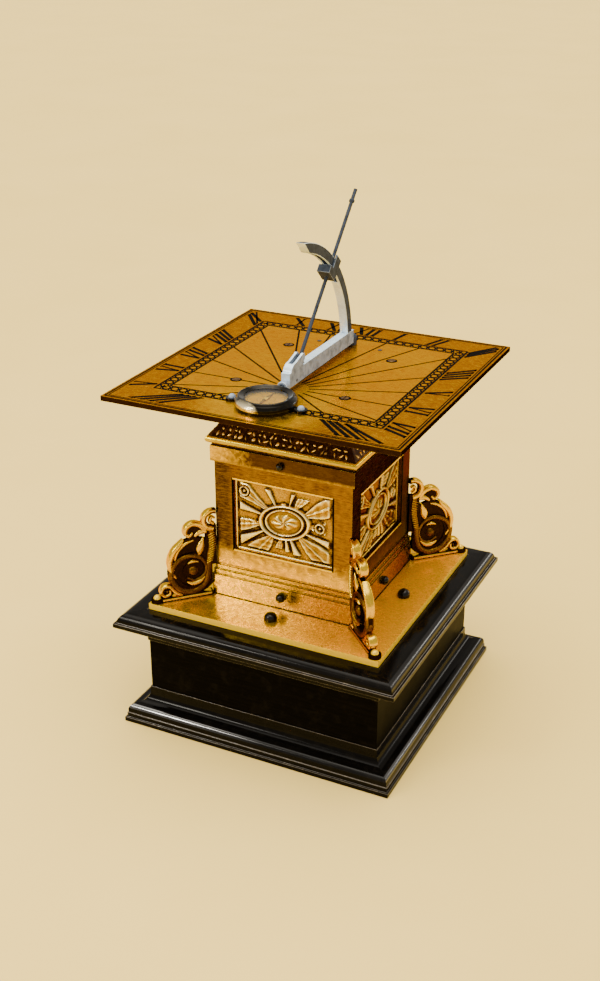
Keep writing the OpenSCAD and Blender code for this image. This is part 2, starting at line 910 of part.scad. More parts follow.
// One pin through each lug, with its head outside and its tip in the bar
module hinge_pins() {
    color([0.75, 0.75, 0.73])
        for (s = [-1, 1]) {
            translate([0, s > 0 ? lug_north : -lug_south, axis_z])
                rotate([s > 0 ? 90 : -90, 0, 0])
                    translate([0, 0, -lug_t / 2]) {
                        cylinder(r = pin_r, h = lug_t + slide_gap + pin_in);
                        translate([0, 0, -0.9]) cylinder(r = 1.5, h = 0.9);
                    }
        }
}

// Places what is drawn in the gnomon's own plane: x north of the foot, y up from the axis
module gnomon_plane() {
    translate([0, -foot_south, axis_z]) rotate([90, 0, 90]) children();
}

module gnomon_bar() {
    color([0.78, 0.79, 0.8])
        difference() {
            gnomon_plane()
                linear_extrude(bar_t, center = true) {
                    translate([-bar_south, -bar_down]) square([bar_south + bar_north, bar_down + bar_up]);
                    strap(fork_foot, fork_tip, fork_r, fork_tip_r);
                }
            // The slot that the style's tongue swings in
            gnomon_plane()
                translate([-tongue_r - 0.4, -bar_down - past, -slot_w / 2])
                    cube([tongue_r + 0.4 + fork_slot_l, 4 * bar_up, slot_w]);
            gnomon_plane()
                translate([0, 0, -bar_t]) cylinder(r = style_pin_r, h = 2 * bar_t);
            for (s = [-1, 1]) {
                translate([0, s > 0 ? bar_north - foot_south + past : -foot_south - bar_south - past, axis_z])
                    rotate([s > 0 ? 90 : -90, 0, 0])
                        cylinder(r = pin_r + running_gap, h = pin_in + slide_gap + past);
            }
        }
}

// A quarter of a ring round the style's foot, slotted where the style passes
module latitude_arc() {
    color([0.8, 0.81, 0.82])
        gnomon_plane()
            intersection() {
                difference() {
                    translate([0, 0, -bar_t / 2])
                        rotate_extrude(angle = arc_end) translate([arc_r, 0]) square([arc_w, bar_t]);
                    rotate([0, 0, slot_low])
                        translate([0, 0, -slot_w / 2])
                            rotate_extrude(angle = slot_high - slot_low)
                                translate([arc_r - 1, 0]) square([arc_w + 2, slot_w]);
                    // The slanting cut that makes the far end a beak
                    rotate([0, 0, arc_end])
                        translate([arc_out, 0, -bar_t])
                            rotate([0, 0, 140]) cube([4 * arc_w, 4 * arc_w, 2 * bar_t]);
                }
                translate([0, bar_up, -bar_t]) cube([arc_out + 1, arc_out + 1, 2 * bar_t]);
            }
}

module style_pin() {
    color([0.6, 0.6, 0.6])
        gnomon_plane()
            translate([0, 0, -bar_t / 2]) cylinder(r = style_pin_r, h = bar_t);
}

// Places what is drawn along the style, x being the distance from its foot
module along_style() {
    gnomon_plane() rotate([0, 0, style_angle]) children();
}

module style_rod() {
    bead_at = style_l - 6.5;
    color([0.5, 0.5, 0.48])
        along_style() {
            difference() {
                union() {
                    translate([0, 0, -tongue_t / 2]) cylinder(r = tongue_r, h = tongue_t);
                    translate([0, -tongue_r, -tongue_t / 2]) cube([tongue_l, 2 * tongue_r, tongue_t]);
                }
                translate([0, 0, -tongue_t])
                    cylinder(r = style_pin_r + running_gap, h = 2 * tongue_t);
            }
            translate([tongue_l - 1, 0, 0]) rotate([0, 90, 0]) cylinder(r = style_r, h = style_l - tongue_l + 1);
            translate([bead_at, 0, 0]) sphere(style_r + 0.5);
        }
}

// A saddle on the rod that grips the arc, with a tail inside it
module style_clip() {
    bridge_in = arc_r - 4.6;
    cheek_x = bar_t / 2 + slide_gap;
    color([0.62, 0.63, 0.64])
        along_style()
            difference() {
                union() {
                    intersection() {
                        translate([bridge_in, -3, -cheek_x - clip_t])
                            cube([6, 8.8, 2 * (cheek_x + clip_t)]);
                        translate([0, 0, -bar_t]) cylinder(r = arc_r - slide_gap, h = 2 * bar_t);
                    }
                    for (s = [-1, 1]) {
                        translate([bridge_in + 1, -3, s > 0 ? cheek_x : -cheek_x - clip_t])
                            cube([arc_out - bridge_in + 0.6, 6, clip_t]);
                    }
                }
                translate([bridge_in - past, 0, 0]) rotate([0, 90, 0]) cylinder(r = style_r, h = 20);
            }
}

plinth_floor_board();
plinth_board(0);  // plinth_south_board
plinth_board(1);  // plinth_east_board
plinth_board(2);  // plinth_north_board
plinth_board(3);  // plinth_west_board
plinth_lid_board();
plinth_glue_blocks();
lower_moulding(0);  // lower_moulding_south
lower_moulding(1);  // lower_moulding_east
lower_moulding(2);  // lower_moulding_north
lower_moulding(3);  // lower_moulding_west
upper_moulding(0);  // upper_moulding_south
upper_moulding(1);  // upper_moulding_east
upper_moulding(2);  // upper_moulding_north
upper_moulding(3);  // upper_moulding_west
base_plate();
base_plate_screws();
box_floor();
box_floor_screws();
box_wall(0);  // box_south_wall
box_wall(1);  // box_east_wall
box_wall(2);  // box_north_wall
box_wall(3);  // box_west_wall
relief_panel(0);  // relief_panel_south
relief_panel(1);  // relief_panel_east
relief_panel(2);  // relief_panel_north
relief_panel(3);  // relief_panel_west
skirt_band();
skirt_screws();
box_top_frame();
frieze_band();
frieze_screws();
cornice_moulding();
cornice_roof();
dial_neck();
scroll_bracket(2);  // scroll_bracket_southwest
scroll_bracket(3);  // scroll_bracket_southeast
scroll_bracket(0);  // scroll_bracket_northeast
scroll_bracket(1);  // scroll_bracket_northwest
scroll_screws();
dial_plate();
dial_screws();
dial_rivets();
compass_bowl();
compass_card();
compass_pivot();
compass_needle();
needle_hub();
compass_glass();
compass_bezel();
compass_screws();
south_lug();
north_lug();
hinge_pins();
gnomon_bar();
latitude_arc();
style_pin();
style_rod();
style_clip();
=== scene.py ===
"""A table sundial: a gilt box with scroll brackets on a black plinth, under an engraved dial
with a compass and a folding steel gnomon.

Places and sizes come from the frame, or are a maker's millimetres times MM. Blender works in metres.
A shape is a pair: an (n, 3) array of points and a list of faces.
"""
import json
import math

import bmesh
import bpy
import numpy as np
from mathutils import Matrix, Vector


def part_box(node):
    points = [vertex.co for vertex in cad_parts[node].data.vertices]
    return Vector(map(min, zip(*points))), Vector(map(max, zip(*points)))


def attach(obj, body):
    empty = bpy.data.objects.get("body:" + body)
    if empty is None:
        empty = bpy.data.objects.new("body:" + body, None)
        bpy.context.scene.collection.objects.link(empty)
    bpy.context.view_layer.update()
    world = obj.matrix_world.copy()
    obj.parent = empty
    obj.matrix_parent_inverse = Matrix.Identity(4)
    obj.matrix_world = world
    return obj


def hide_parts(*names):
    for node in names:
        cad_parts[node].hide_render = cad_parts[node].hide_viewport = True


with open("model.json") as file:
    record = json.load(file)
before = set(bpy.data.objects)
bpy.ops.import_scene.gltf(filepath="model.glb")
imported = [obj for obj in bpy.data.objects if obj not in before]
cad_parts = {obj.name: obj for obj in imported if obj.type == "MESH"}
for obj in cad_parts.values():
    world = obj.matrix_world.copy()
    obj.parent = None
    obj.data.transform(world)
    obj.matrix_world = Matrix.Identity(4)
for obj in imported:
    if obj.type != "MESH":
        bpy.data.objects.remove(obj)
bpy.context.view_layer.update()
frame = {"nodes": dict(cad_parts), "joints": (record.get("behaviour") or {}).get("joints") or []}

MM = 0.001
UP = (0, 0, 1)
SIDES = ("south", "east", "north", "west")
# The east and north sides take darker copies of the wall and relief finishes: painted shade.
SHADED_SIDES = ("east", "north")
CORNERS = ("northeast", "northwest", "southwest", "southeast")

DIAL_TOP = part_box("dial_plate")[1].z
PLATE_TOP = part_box("base_plate")[1].z
BOX_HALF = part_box("box_south_wall")[1].x
DIE_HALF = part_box("plinth_lid_board")[1].x
ROOF_LOW, ROOF_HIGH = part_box("cornice_roof")
JOINT_PLACE = {joint["name"]: joint["pos_m"] for joint in frame["joints"]}
STYLE_FOOT = Vector(JOINT_PLACE["style_tilt"])
NEEDLE_Y = JOINT_PLACE["needle_turn"][1]
STYLE_ANGLE = math.radians(47)


# Shapes

def joined(shapes):
    """Several shapes as one: their points in a row, their faces' numbers moved on to match."""
    starts = np.cumsum([0] + [len(points) for points, _ in shapes])
    faces = [[c + start for c in face] for (_, some), start in zip(shapes, starts) for face in some]
    return np.concatenate([points for points, _ in shapes]), faces


def placed(shape, matrix):
    """A shape with every point p moved to matrix times p."""
    matrix = np.array(matrix)
    return shape[0] @ matrix[:3, :3].T + matrix[:3, 3], shape[1]


def turned(shape, degrees):
    """A shape turned about the upright middle line."""
    return placed(shape, Matrix.Rotation(math.radians(degrees), 4, "Z"))


def grid_faces(rows, columns, close_rows=False, close_columns=False):
    """The quads between neighbours on a grid of numbered points, row by row."""
    r = np.arange(rows if close_rows else rows - 1)[:, None]
    c = np.arange(columns if close_columns else columns - 1)[None, :]
    up, right = (r + 1) % rows, (c + 1) % columns
    corners = (r * columns + c, r * columns + right, up * columns + right, up * columns + c)
    return np.stack(np.broadcast_arrays(*corners), -1).reshape(-1, 4).tolist()


def grid_rim(rows, columns):
    """The numbers of a grid's outermost points, once round from the first."""
    right = np.arange(1, rows) * columns + columns - 1
    left = (rows - 1 - np.arange(1, rows - 1)) * columns
    return np.concatenate([np.arange(columns), right, rows * columns - 1 - np.arange(1, columns), left])


def swept(rings):
    """Rings of points, an array (rings, points, 3), skinned into a tube with flat ends."""
    n, m, _ = rings.shape
    faces = grid_faces(n, m, close_columns=True)
    return rings.reshape(-1, 3), faces + [list(range(m))[::-1], list(range((n - 1) * m, n * m))]


def swept_ring(rings):
    """Rings of points skinned into a closed loop, the last ring joined to the first."""
    n, m, _ = rings.shape
    return rings.reshape(-1, 3), grid_faces(n, m, close_rows=True, close_columns=True)


def lathe(profile, segments=96):
    """A profile of (radius, height) turned about Z: x = r cos a, y = r sin a."""
    a = np.linspace(0, 2 * np.pi, segments, endpoint=False)[:, None]
    r, z = np.array(profile, float).T
    points = np.stack([r * np.cos(a), r * np.sin(a), np.broadcast_to(z, (segments, len(z)))], -1)
    return points.reshape(-1, 3), grid_faces(segments, len(z), close_rows=True)


def box_shape(x0, x1, y0, y1, z0, z1):
    """A closed box between two corners."""
    points = np.array([[x, y, z] for z in (z0, z1) for y in (y0, y1) for x in (x0, x1)])
    return points, [[0, 2, 3, 1], [4, 5, 7, 6], [0, 1, 5, 4], [1, 3, 7, 5], [3, 2, 6, 7], [2, 0, 4, 6]]


def bars(starts, ends, widths, low, high):
    """Many flat bars in the plane: each runs from its start to its end, widths wide, from low to high."""
    starts, ends = np.atleast_2d(starts).astype(float), np.atleast_2d(ends).astype(float)
    along = ends - starts
    across = np.stack([-along[:, 1], along[:, 0]], -1) / np.linalg.norm(along, axis=1)[:, None]
    across = across * np.broadcast_to(np.asarray(widths, float), len(starts))[:, None] / 2
    corners = np.stack([starts - across, ends - across, ends + across, starts + across], 1)
    points = np.empty((len(starts), 2, 4, 3))
    points[..., :2] = corners[:, None]
    points[..., 2] = np.array([low, high])[None, :, None]
    one = [[3, 2, 1, 0], [4, 5, 6, 7], [0, 1, 5, 4], [1, 2, 6, 5], [2, 3, 7, 6], [3, 0, 4, 7]]
    faces = (np.array(one)[None] + 8 * np.arange(len(starts))[:, None, None]).reshape(-1, 4).tolist()
    return points.reshape(-1, 3), faces


def spokes(middle, step, near, far, width, low, high):
    """Bars out from a middle, one each so many degrees, from north round by east."""
    a = np.radians(np.arange(0, 360, step))
    out = np.stack([np.sin(a), np.cos(a)], -1)
    return bars(middle + out * near, middle + out * far, width, low, high)


def rings_flat(centres, outer, inner, low, high, sides=20):
    """Flat rings round the centres, each a square section carried round a circle."""
    a = np.linspace(0, 2 * np.pi, sides, endpoint=False)
    circle = np.stack([np.cos(a), np.sin(a)], -1)
    radii = (np.broadcast_to(each, len(centres)) for each in (outer, inner))
    shapes = []
    for centre, r_out, r_in in zip(centres, *radii):
        section = [(r_in, low), (r_out, low), (r_out, high), (r_in, high)]
        rings = np.stack([np.column_stack([circle * r + centre, np.full(sides, z)]) for r, z in section], 1)
        shapes.append(swept_ring(rings))
    return joined(shapes)


def curve_through(points, steps):
    """A smooth line through the points: cubic pieces whose slopes are the neighbours' differences."""
    p = np.asarray(points, float)
    p = np.concatenate([[2 * p[0] - p[1]], p, [2 * p[-1] - p[-2]]])
    t = np.linspace(0, 1, steps, endpoint=False)[None, :, None]
    a, b, c, d = (p[i:len(p) - 3 + i, None] for i in range(4))
    square, cube = 2 * a - 5 * b + 4 * c - d, 3 * b - a - 3 * c + d
    inner = 0.5 * (2 * b + (c - a) * t + square * t ** 2 + cube * t ** 3)
    return np.concatenate([inner.reshape(-1, p.shape[1]), p[-2:-1]])


def arc(centre, radius, start, end, steps=14):
    """Points on a circle, from one angle in degrees to another."""
    a = np.radians(np.linspace(start, end, steps))
    return np.stack([centre[0] + radius * np.cos(a), centre[1] + radius * np.sin(a)], -1)


# Pieces

def in_scene(name, data, place=(0, 0, 0)):
    """An object with this data, put into the scene."""
    obj = bpy.data.objects.new(name, data)
    bpy.context.scene.collection.objects.link(obj)
    obj.location = place
    return obj


def triples(items, what):
    """Three numbers of each vertex or face, such as its place, as an (n, 3) array."""
    values = np.empty(3 * len(items))
    items.foreach_get(what, values)
    return values.reshape(-1, 3)


def mesh_shape(obj):
    """The points and faces of a mesh object."""
    return triples(obj.data.vertices, "co"), [list(face.vertices) for face in obj.data.polygons]


def tidy_mesh(mesh, flatten):
    """Merges doubles, joins flat neighbours if asked, and points every face outwards."""
    work = bmesh.new()
    work.from_mesh(mesh)
    bmesh.ops.remove_doubles(work, verts=work.verts, dist=0.002 * MM)
    if flatten:
        bmesh.ops.dissolve_limit(work, angle_limit=math.radians(0.4), verts=work.verts, edges=work.edges)
    bmesh.ops.recalc_face_normals(work, faces=work.faces)
    work.to_mesh(mesh)
    work.free()


def weigh_long_edges(mesh, least):
    """Gives the bevel weight 1 to each sharp edge that is at least so long."""
    ends = np.empty(2 * len(mesh.edges), np.int32)
    mesh.edges.foreach_get("vertices", ends)
    span = np.diff(triples(mesh.vertices, "co")[ends.reshape(-1, 2)], axis=1)[:, 0]
    sharp = np.empty(len(mesh.edges), bool)
    mesh.edges.foreach_get("use_edge_sharp", sharp)
    weights = (sharp & (np.linalg.norm(span, axis=1) > least)).astype(np.float32)
    mesh.attributes.new("bevel_weight_edge", "FLOAT", "EDGE").data.foreach_set("value", weights)


def round_edges(obj, width, long_edges):
    """Rounds the sharp edges in the second material, which on many pieces is a painted highlight; with
    long_edges, only those that are longer.
    """
    modifier = obj.modifiers.new("rounded_edge", "BEVEL")
    modifier.width = width
    modifier.segments = 2
    modifier.limit_method = "ANGLE"
    modifier.angle_limit = math.radians(38)
    modifier.harden_normals = True
    modifier.material = 1
    if long_edges:
        weigh_long_edges(obj.data, long_edges)
        modifier.limit_method = "WEIGHT"


def piece(name, shape, finish, body="stand", replaces=(), smooth=35, bevel=0.0, edge=None,
          flatten=False, relief=None, long_edges=0.0):
    """A finished piece: a tidy mesh, its materials, rounded edges, and the body it rides on."""
    mesh = bpy.data.meshes.new(name)
    mesh.from_pydata(shape[0].tolist(), [], shape[1])
    if relief is not None:
        mesh.attributes.new("relief", "FLOAT", "POINT").data.foreach_set("value", relief.astype(np.float32))
    tidy_mesh(mesh, flatten)
    mesh.shade_smooth()
    mesh.set_sharp_from_angle(angle=math.radians(smooth))
    mesh.materials.append(finish)
    obj = in_scene(name, mesh)
    if bevel:
        mesh.materials.append(edge or finish)
        round_edges(obj, bevel, long_edges)
    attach(obj, body)
    if replaces:
        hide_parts(*replaces)
    return obj


def dressed(node, finish, body="stand", bevel=0.0, edge=None, smooth=35, faces=()):
    """A CAD node's own shape as a finer piece: doubles merged, flat faces joined, sharp edges rounded.

    Each of the faces is (axis, least, material): those whose normal reaches the least along that axis get it.
    """
    shape = mesh_shape(frame["nodes"][node])
    obj = piece(f"{node}_piece", shape, finish, body, (node,), smooth, bevel, edge, flatten=bevel > 0)
    mesh = obj.data
    chosen = np.zeros(len(mesh.polygons), np.int32)
    for axis, least, material in faces:
        mesh.materials.append(material)
        chosen[triples(mesh.polygons, "normal") @ np.array(axis, float) > least] = len(mesh.materials) - 1
    mesh.polygons.foreach_set("material_index", chosen)


def plain(node, finish):
    """A CAD node that keeps its own mesh and gets a material."""
    materials = frame["nodes"][node].data.materials
    materials.clear()
    materials.append(finish)


# Parts of materials

def put(tree, kind, inputs=None, **settings):
    """A node with its settings, and with its inputs set to values or joined to sockets."""
    node = tree.nodes.new(kind)
    for key, value in settings.items():
        setattr(node, key, value)
    for key, value in (inputs or {}).items():
        if isinstance(value, bpy.types.NodeSocket):
            tree.links.new(value, node.inputs[key])
        else:
            node.inputs[key].default_value = value
    return node


def maths(tree, operation, first, second=0.0):
    """One sum on numbers or sockets."""
    return put(tree, "ShaderNodeMath", {0: first, 1: second}, operation=operation).outputs[0]


def remapped(tree, value, low, high, to_low=0.0, to_high=1.0):
    """A value carried from one range over to another, and held at its ends."""
    ends = {"From Min": low, "From Max": high, "To Min": to_low, "To Max": to_high}
    return put(tree, "ShaderNodeMapRange", {"Value": value, **ends}).outputs["Result"]


def blended(tree, mask, first, second):
    """Colour mix: first where the mask is 0, second where it is 1."""
    ends = [end if isinstance(end, bpy.types.NodeSocket) else (*end, 1.0) for end in (first, second)]
    return put(tree, "ShaderNodeMix", {0: mask, 6: ends[0], 7: ends[1]}, data_type="RGBA").outputs[2]


def object_place(tree):
    """Each point's place on the object, in metres."""
    return put(tree, "ShaderNodeTexCoord").outputs["Object"]


def noise(tree, where, scale, detail, roughness, distortion=0.0):
    """Noise of a size, with this many finer steps, their strength, and a bend."""
    look = {"Scale": scale, "Detail": detail, "Roughness": roughness, "Distortion": distortion}
    return put(tree, "ShaderNodeTexNoise", {"Vector": where, **look}).outputs["Fac"]


def new_group(name, inputs, outputs):
    """An empty shader node group whose inputs (name, value) and outputs are numbers, and its sockets."""
    group = bpy.data.node_groups.new(name, "ShaderNodeTree")
    for label, value in inputs:
        socket = group.interface.new_socket(label, in_out="INPUT", socket_type="NodeSocketFloat")
        socket.default_value = value
    for label in outputs:
        group.interface.new_socket(label, in_out="OUTPUT", socket_type="NodeSocketFloat")
    return group, group.nodes.new("NodeGroupInput").outputs, group.nodes.new("NodeGroupOutput").inputs


def clouds_group():
    """Soft patches: noise at Scale, stretched between Low and High."""
    inputs = [("Scale", 60.0), ("Low", 0.35), ("High", 0.85)]
    group, given, out = new_group("tarnish_clouds", inputs, ["Mask"])
    patches = noise(group, object_place(group), given["Scale"], 5.0, 0.6, 0.4)
    group.links.new(remapped(group, patches, given["Low"], given["High"]), out["Mask"])
    return group


def speckle_group():
    """Fine pits and flecks: a small noise, and its sharper peaks as a mask."""
    group, given, out = new_group("fine_speckle", [("Scale", 1500.0), ("Threshold", 0.6)], ["Mask", "Height"])
    pits = noise(group, object_place(group), given["Scale"], 3.0, 0.65)
    above = maths(group, "ADD", given["Threshold"], 0.12)
    group.links.new(remapped(group, pits, given["Threshold"], above), out["Mask"])
    group.links.new(pits, out["Height"])
    return group


def lines_group():
    """Long fine lines, as of polishing, filing or wood grain: noise stretched by a scale for each axis."""
    group, given, out = new_group("fine_lines", [("X", 80.0), ("Y", 2500.0), ("Z", 2500.0)], ["Height"])
    scale = put(group, "ShaderNodeCombineXYZ", {axis: given[axis] for axis in "XYZ"}).outputs[0]
    stretched = put(group, "ShaderNodeVectorMath", {0: object_place(group), 1: scale}, operation="MULTIPLY")
    group.links.new(noise(group, stretched.outputs[0], 1.0, 4.0, 0.7), out["Height"])
    return group


CLOUDS, SPECKLE, LINES = clouds_group(), speckle_group(), lines_group()


def placed_group(tree, group, **values):
    """The outputs of a shared effect, placed in a material with its own values."""
    return put(tree, "ShaderNodeGroup", values, node_tree=group).outputs


def clouds(tree, scale, low, high):
    """Soft patches as a mask."""
    return placed_group(tree, CLOUDS, Scale=scale, Low=low, High=high)["Mask"]


def fine_lines(tree, scales):
    """The height of fine lines: the smallest of the scales, of X, Y and Z, is along them."""
    return placed_group(tree, LINES, X=scales[0], Y=scales[1], Z=scales[2])["Height"]


def surface(name, **sockets):
    """A new material, its tree and its Principled BSDF, whose plain sockets are set."""
    material = bpy.data.materials.new(name)
    material.use_nodes = True
    tree = material.node_tree
    shader = tree.nodes["Principled BSDF"]
    for label, value in sockets.items():
        shader.inputs[label.replace("_", " ")].default_value = value
    return material, tree, shader


def feed(tree, shader, **sockets):
    """Joins outputs to the shader's sockets."""
    for label, output in sockets.items():
        tree.links.new(output, shader.inputs[label.replace("_", " ")])


def add_bump(tree, shader, height, depth, strength=1.0):
    """Joins a Bump node of the given depth in metres to the shader's normal."""
    bump = put(tree, "ShaderNodeBump", {"Height": height, "Distance": depth, "Strength": strength})
    feed(tree, shader, Normal=bump.outputs["Normal"])


# From the needle's middle towards the painted highlight on the compass ring, as shares of east and north
PAINTED_GLINT_WAY = (-0.34, -0.94)


def measure(tree, what):
    """A length in metres at each point of the object.

    height is z and east is x. out is the distance from the middle, and near the distance from the compass.
    The measure for the compass ring's painted highlight is the length from the needle's middle towards it.
    along is the way along a side, as seen from outside: x on the south, y on the east, -x on the north and
    -y on the west.
    """
    where = put(tree, "ShaderNodeSeparateXYZ", {"Vector": object_place(tree)}).outputs
    east, north = where["X"], where["Y"]
    if what == "height":
        return where["Z"]
    if what == "east":
        return east
    x, y = (maths(tree, "ABSOLUTE", length) for length in (east, north))
    if what == "out":
        return maths(tree, "MAXIMUM", x, y)
    ahead = maths(tree, "SUBTRACT", north, NEEDLE_Y)
    if what == "near":
        squares = [maths(tree, "POWER", length, 2.0) for length in (x, maths(tree, "ABSOLUTE", ahead))]
        return maths(tree, "SQRT", maths(tree, "ADD", *squares))
    if what == "towards_glint":
        return maths(tree, "ADD", *(maths(tree, "MULTIPLY", way, s) for way, s in zip((east, ahead), PAINTED_GLINT_WAY)))
    ways = []
    for way, across, size, other in ((north, east, x, y), (east, north, y, x)):
        signed = maths(tree, "MULTIPLY", way, maths(tree, "SIGN", across))
        ways.append(maths(tree, "MULTIPLY", signed, maths(tree, "GREATER_THAN", size, other)))
    return maths(tree, "SUBTRACT", *ways)


def reached(tree, what, start, end, at_start=0.0, at_end=1.0, ragged=None, share=0.3):
    """A value that changes between two places of a measure, in mm. A mask can make its edge ragged."""
    length = measure(tree, what)
    if ragged is not None:
        length = maths(tree, "ADD", length, maths(tree, "MULTIPLY", ragged, share * abs(end - start) * MM))
    return remapped(tree, length, start * MM, end * MM, at_start, at_end)


# Materials

# The near-black of the relief's hollows
HOLLOW_BLACK = (0.015, 0.006, 0.002)


def gilt(name, tones, rough=(0.2, 0.36), cloud=55.0, deep_share=0.3, streaks=(300.0, 2600.0, 2600.0),
         streak_share=0.25, shine=1.0, graze=(1.0, 0.62, 0.1), fleck=0.3, shades=(), dull=None, relief=None):
    """Fire-gilt brass in a bright, a middle and a deep tone: cloudy tarnish, fine flecks and polishing lines.

    Each of the shades is (measure, from, to, tone), with the measure in mm: see measure(); most of them
    paint light and shade by place. dull is (measure, from, to, shine), for less shine towards one end. relief
    is the tone of raised parts, where the relief attribute is high, in part a painted highlight; it also
    blackens the hollows.
    """
    bright, middle, deep = tones
    material, tree, shader = surface(name, Metallic=shine, Specular_Tint=(*graze, 1.0))
    patches, small = clouds(tree, cloud, 0.36, 0.66), clouds(tree, cloud * 7, 0.4, 0.62)
    flecks = placed_group(tree, SPECKLE, Scale=1500.0, Threshold=0.56)
    polish = fine_lines(tree, streaks)
    tone = blended(tree, maths(tree, "MULTIPLY", patches, 0.5), middle, bright)
    for what, start, end, shade in shades:
        tone = blended(tree, reached(tree, what, start, end, ragged=small), tone, shade)
    tone = blended(tree, maths(tree, "MULTIPLY", small, deep_share), tone, deep)
    tone = blended(tree, remapped(tree, polish, 0.45, 0.62, 0.0, streak_share), tone, bright)
    tone = blended(tree, remapped(tree, polish, 0.5, 0.36, 0.0, streak_share), tone, deep)
    tone = blended(tree, maths(tree, "MULTIPLY", flecks["Mask"], fleck), tone, bright)
    roughness = remapped(tree, small, 0.0, 1.0, *rough)
    if dull:
        what, start, end, least = dull
        feed(tree, shader, Metallic=reached(tree, what, start, end, shine, least))
    if relief:
        height = put(tree, "ShaderNodeAttribute", attribute_name="relief").outputs["Fac"]
        tone = blended(tree, remapped(tree, height, 0.5, 0.72), tone, relief)
        tone = blended(tree, remapped(tree, height, 0.46, 0.3), tone, HOLLOW_BLACK)
        roughness = maths(tree, "MAXIMUM", roughness, remapped(tree, height, 0.4, 0.2, 0.2, 0.6))
    feed(tree, shader, Base_Color=tone, Roughness=roughness)
    pits_and_lines = maths(tree, "ADD", flecks["Height"], maths(tree, "MULTIPLY", polish, 0.4))
    add_bump(tree, shader, pits_and_lines, 0.012 * MM, 0.5)
    return material


def steel(name, tone, dark, rough, scales=(2200.0, 120.0, 2200.0), shine=0.35):
    """Filed and polished steel: drawn lines, grey clouds and a few dark specks."""
    material, tree, shader = surface(name, Metallic=shine, IOR=1.08)
    specks = placed_group(tree, SPECKLE, Scale=1400.0, Threshold=0.62)["Mask"]
    filed = fine_lines(tree, scales)
    colour = blended(tree, maths(tree, "MULTIPLY", clouds(tree, 260.0, 0.4, 0.66), 0.5), tone, dark)
    colour = blended(tree, maths(tree, "MULTIPLY", specks, 0.55), colour, dark)
    feed(tree, shader, Base_Color=colour, Roughness=remapped(tree, filed, 0.3, 0.7, *rough))
    add_bump(tree, shader, filed, 0.02 * MM, 0.5)
    return material


def black_wood(name, axis, shine, gloss=0.26, wear_and_highlight=0.0, fade=None):
    """Ebonised wood: black stain over fine grain along one axis, polished. Brown can be let through, as wear
    and, on the mouldings' edges, as a painted highlight.

    fade is (from, to, level): the polish wears down to a specular level along a side, in mm.
    """
    material, tree, shader = surface(name, IOR=shine)
    grain = fine_lines(tree, [28.0 if letter == axis else 900.0 for letter in "XYZ"])
    wide, rubbed = clouds(tree, 35.0, 0.35, 0.7), clouds(tree, 180.0, 0.52, 0.7)
    through = maths(tree, "ADD", maths(tree, "MULTIPLY", rubbed, 0.02 + wear_and_highlight), wear_and_highlight / 2)
    tone = blended(tree, remapped(tree, grain, 0.35, 0.7), (0.0012, 0.001, 0.0008), (0.004, 0.0032, 0.0022))
    tone = blended(tree, maths(tree, "MULTIPLY", wide, 0.5), tone, (0.0022, 0.0018, 0.0014))
    tone = blended(tree, through, tone, (0.16, 0.13, 0.09))
    feed(tree, shader, Base_Color=tone, Roughness=remapped(tree, wide, 0.0, 1.0, gloss, gloss + 0.12))
    if fade:
        start, end, least = fade
        feed(tree, shader, Specular_IOR_Level=reached(tree, "along", start, end, 0.5, least))
    add_bump(tree, shader, grain, 0.03 * MM, 0.3)
    return material


def dark_metal(name, tone, light, rough=0.35, coat=0.0, patches=(400.0, 0.5, 0.72), painted_glint=None):
    """Blued or patinated metal: a dark tone with paler rubbed patches.

    The last argument, (measure, from, to, tone), paints a highlight: a bright tone from one place on.
    """
    material, tree, shader = surface(name, Metallic=1.0, Coat_Weight=coat, Coat_Roughness=0.06)
    rubbed = clouds(tree, *patches)
    flecks = placed_group(tree, SPECKLE, Scale=1800.0, Threshold=0.55)["Height"]
    colour = blended(tree, maths(tree, "MULTIPLY", rubbed, 0.75), tone, light)
    if painted_glint:
        what, start, end, bright = painted_glint
        colour = blended(tree, reached(tree, what, start, end, ragged=rubbed, share=0.5), colour, bright)
    roughness = remapped(tree, rubbed, 0.0, 1.0, rough + 0.12, rough - 0.05)
    feed(tree, shader, Base_Color=colour, Roughness=roughness)
    add_bump(tree, shader, flecks, 0.04 * MM, 0.5)
    return material


def black_wax_and_painted_shadow(name):
    """Black wax rubbed into engraved lines: dull, with brown gaps where it has fallen out.

    The same dull black paints the lines of painted shadow round the box and its windows.
    """
    material, tree, shader = surface(name, IOR=1.08)
    gaps = placed_group(tree, SPECKLE, Scale=900.0, Threshold=0.6)["Mask"]
    tone = blended(tree, maths(tree, "MULTIPLY", gaps, 0.4), (0.002, 0.0013, 0.001), (0.04, 0.017, 0.004))
    feed(tree, shader, Base_Color=tone, Roughness=remapped(tree, gaps, 0.0, 1.0, 0.6, 0.8))
    return material


def bare_wood(name):
    """Planed wood inside the plinth: long grain and warm bands."""
    material, tree, shader = surface(name)
    grain = fine_lines(tree, (40.0, 700.0, 700.0))
    tone = blended(tree, remapped(tree, grain, 0.35, 0.85), (0.36, 0.21, 0.1), (0.2, 0.1, 0.045))
    feed(tree, shader, Base_Color=tone, Roughness=remapped(tree, grain, 0.3, 0.7, 0.55, 0.75))
    add_bump(tree, shader, grain, 0.1 * MM)
    return material


def clear_glass(name):
    """A thin pane: clear, with the faintest smears in its gloss."""
    tint = (0.97, 0.99, 0.97, 1.0)
    material, tree, shader = surface(name, Transmission_Weight=1.0, IOR=1.22, Base_Color=tint)
    smears = clouds(tree, 140.0, 0.45, 0.75)
    feed(tree, shader, Roughness=remapped(tree, smears, 0.0, 1.0, 0.01, 0.08))
    return material


# The gilt finishes, with their bright, middle and deep tones

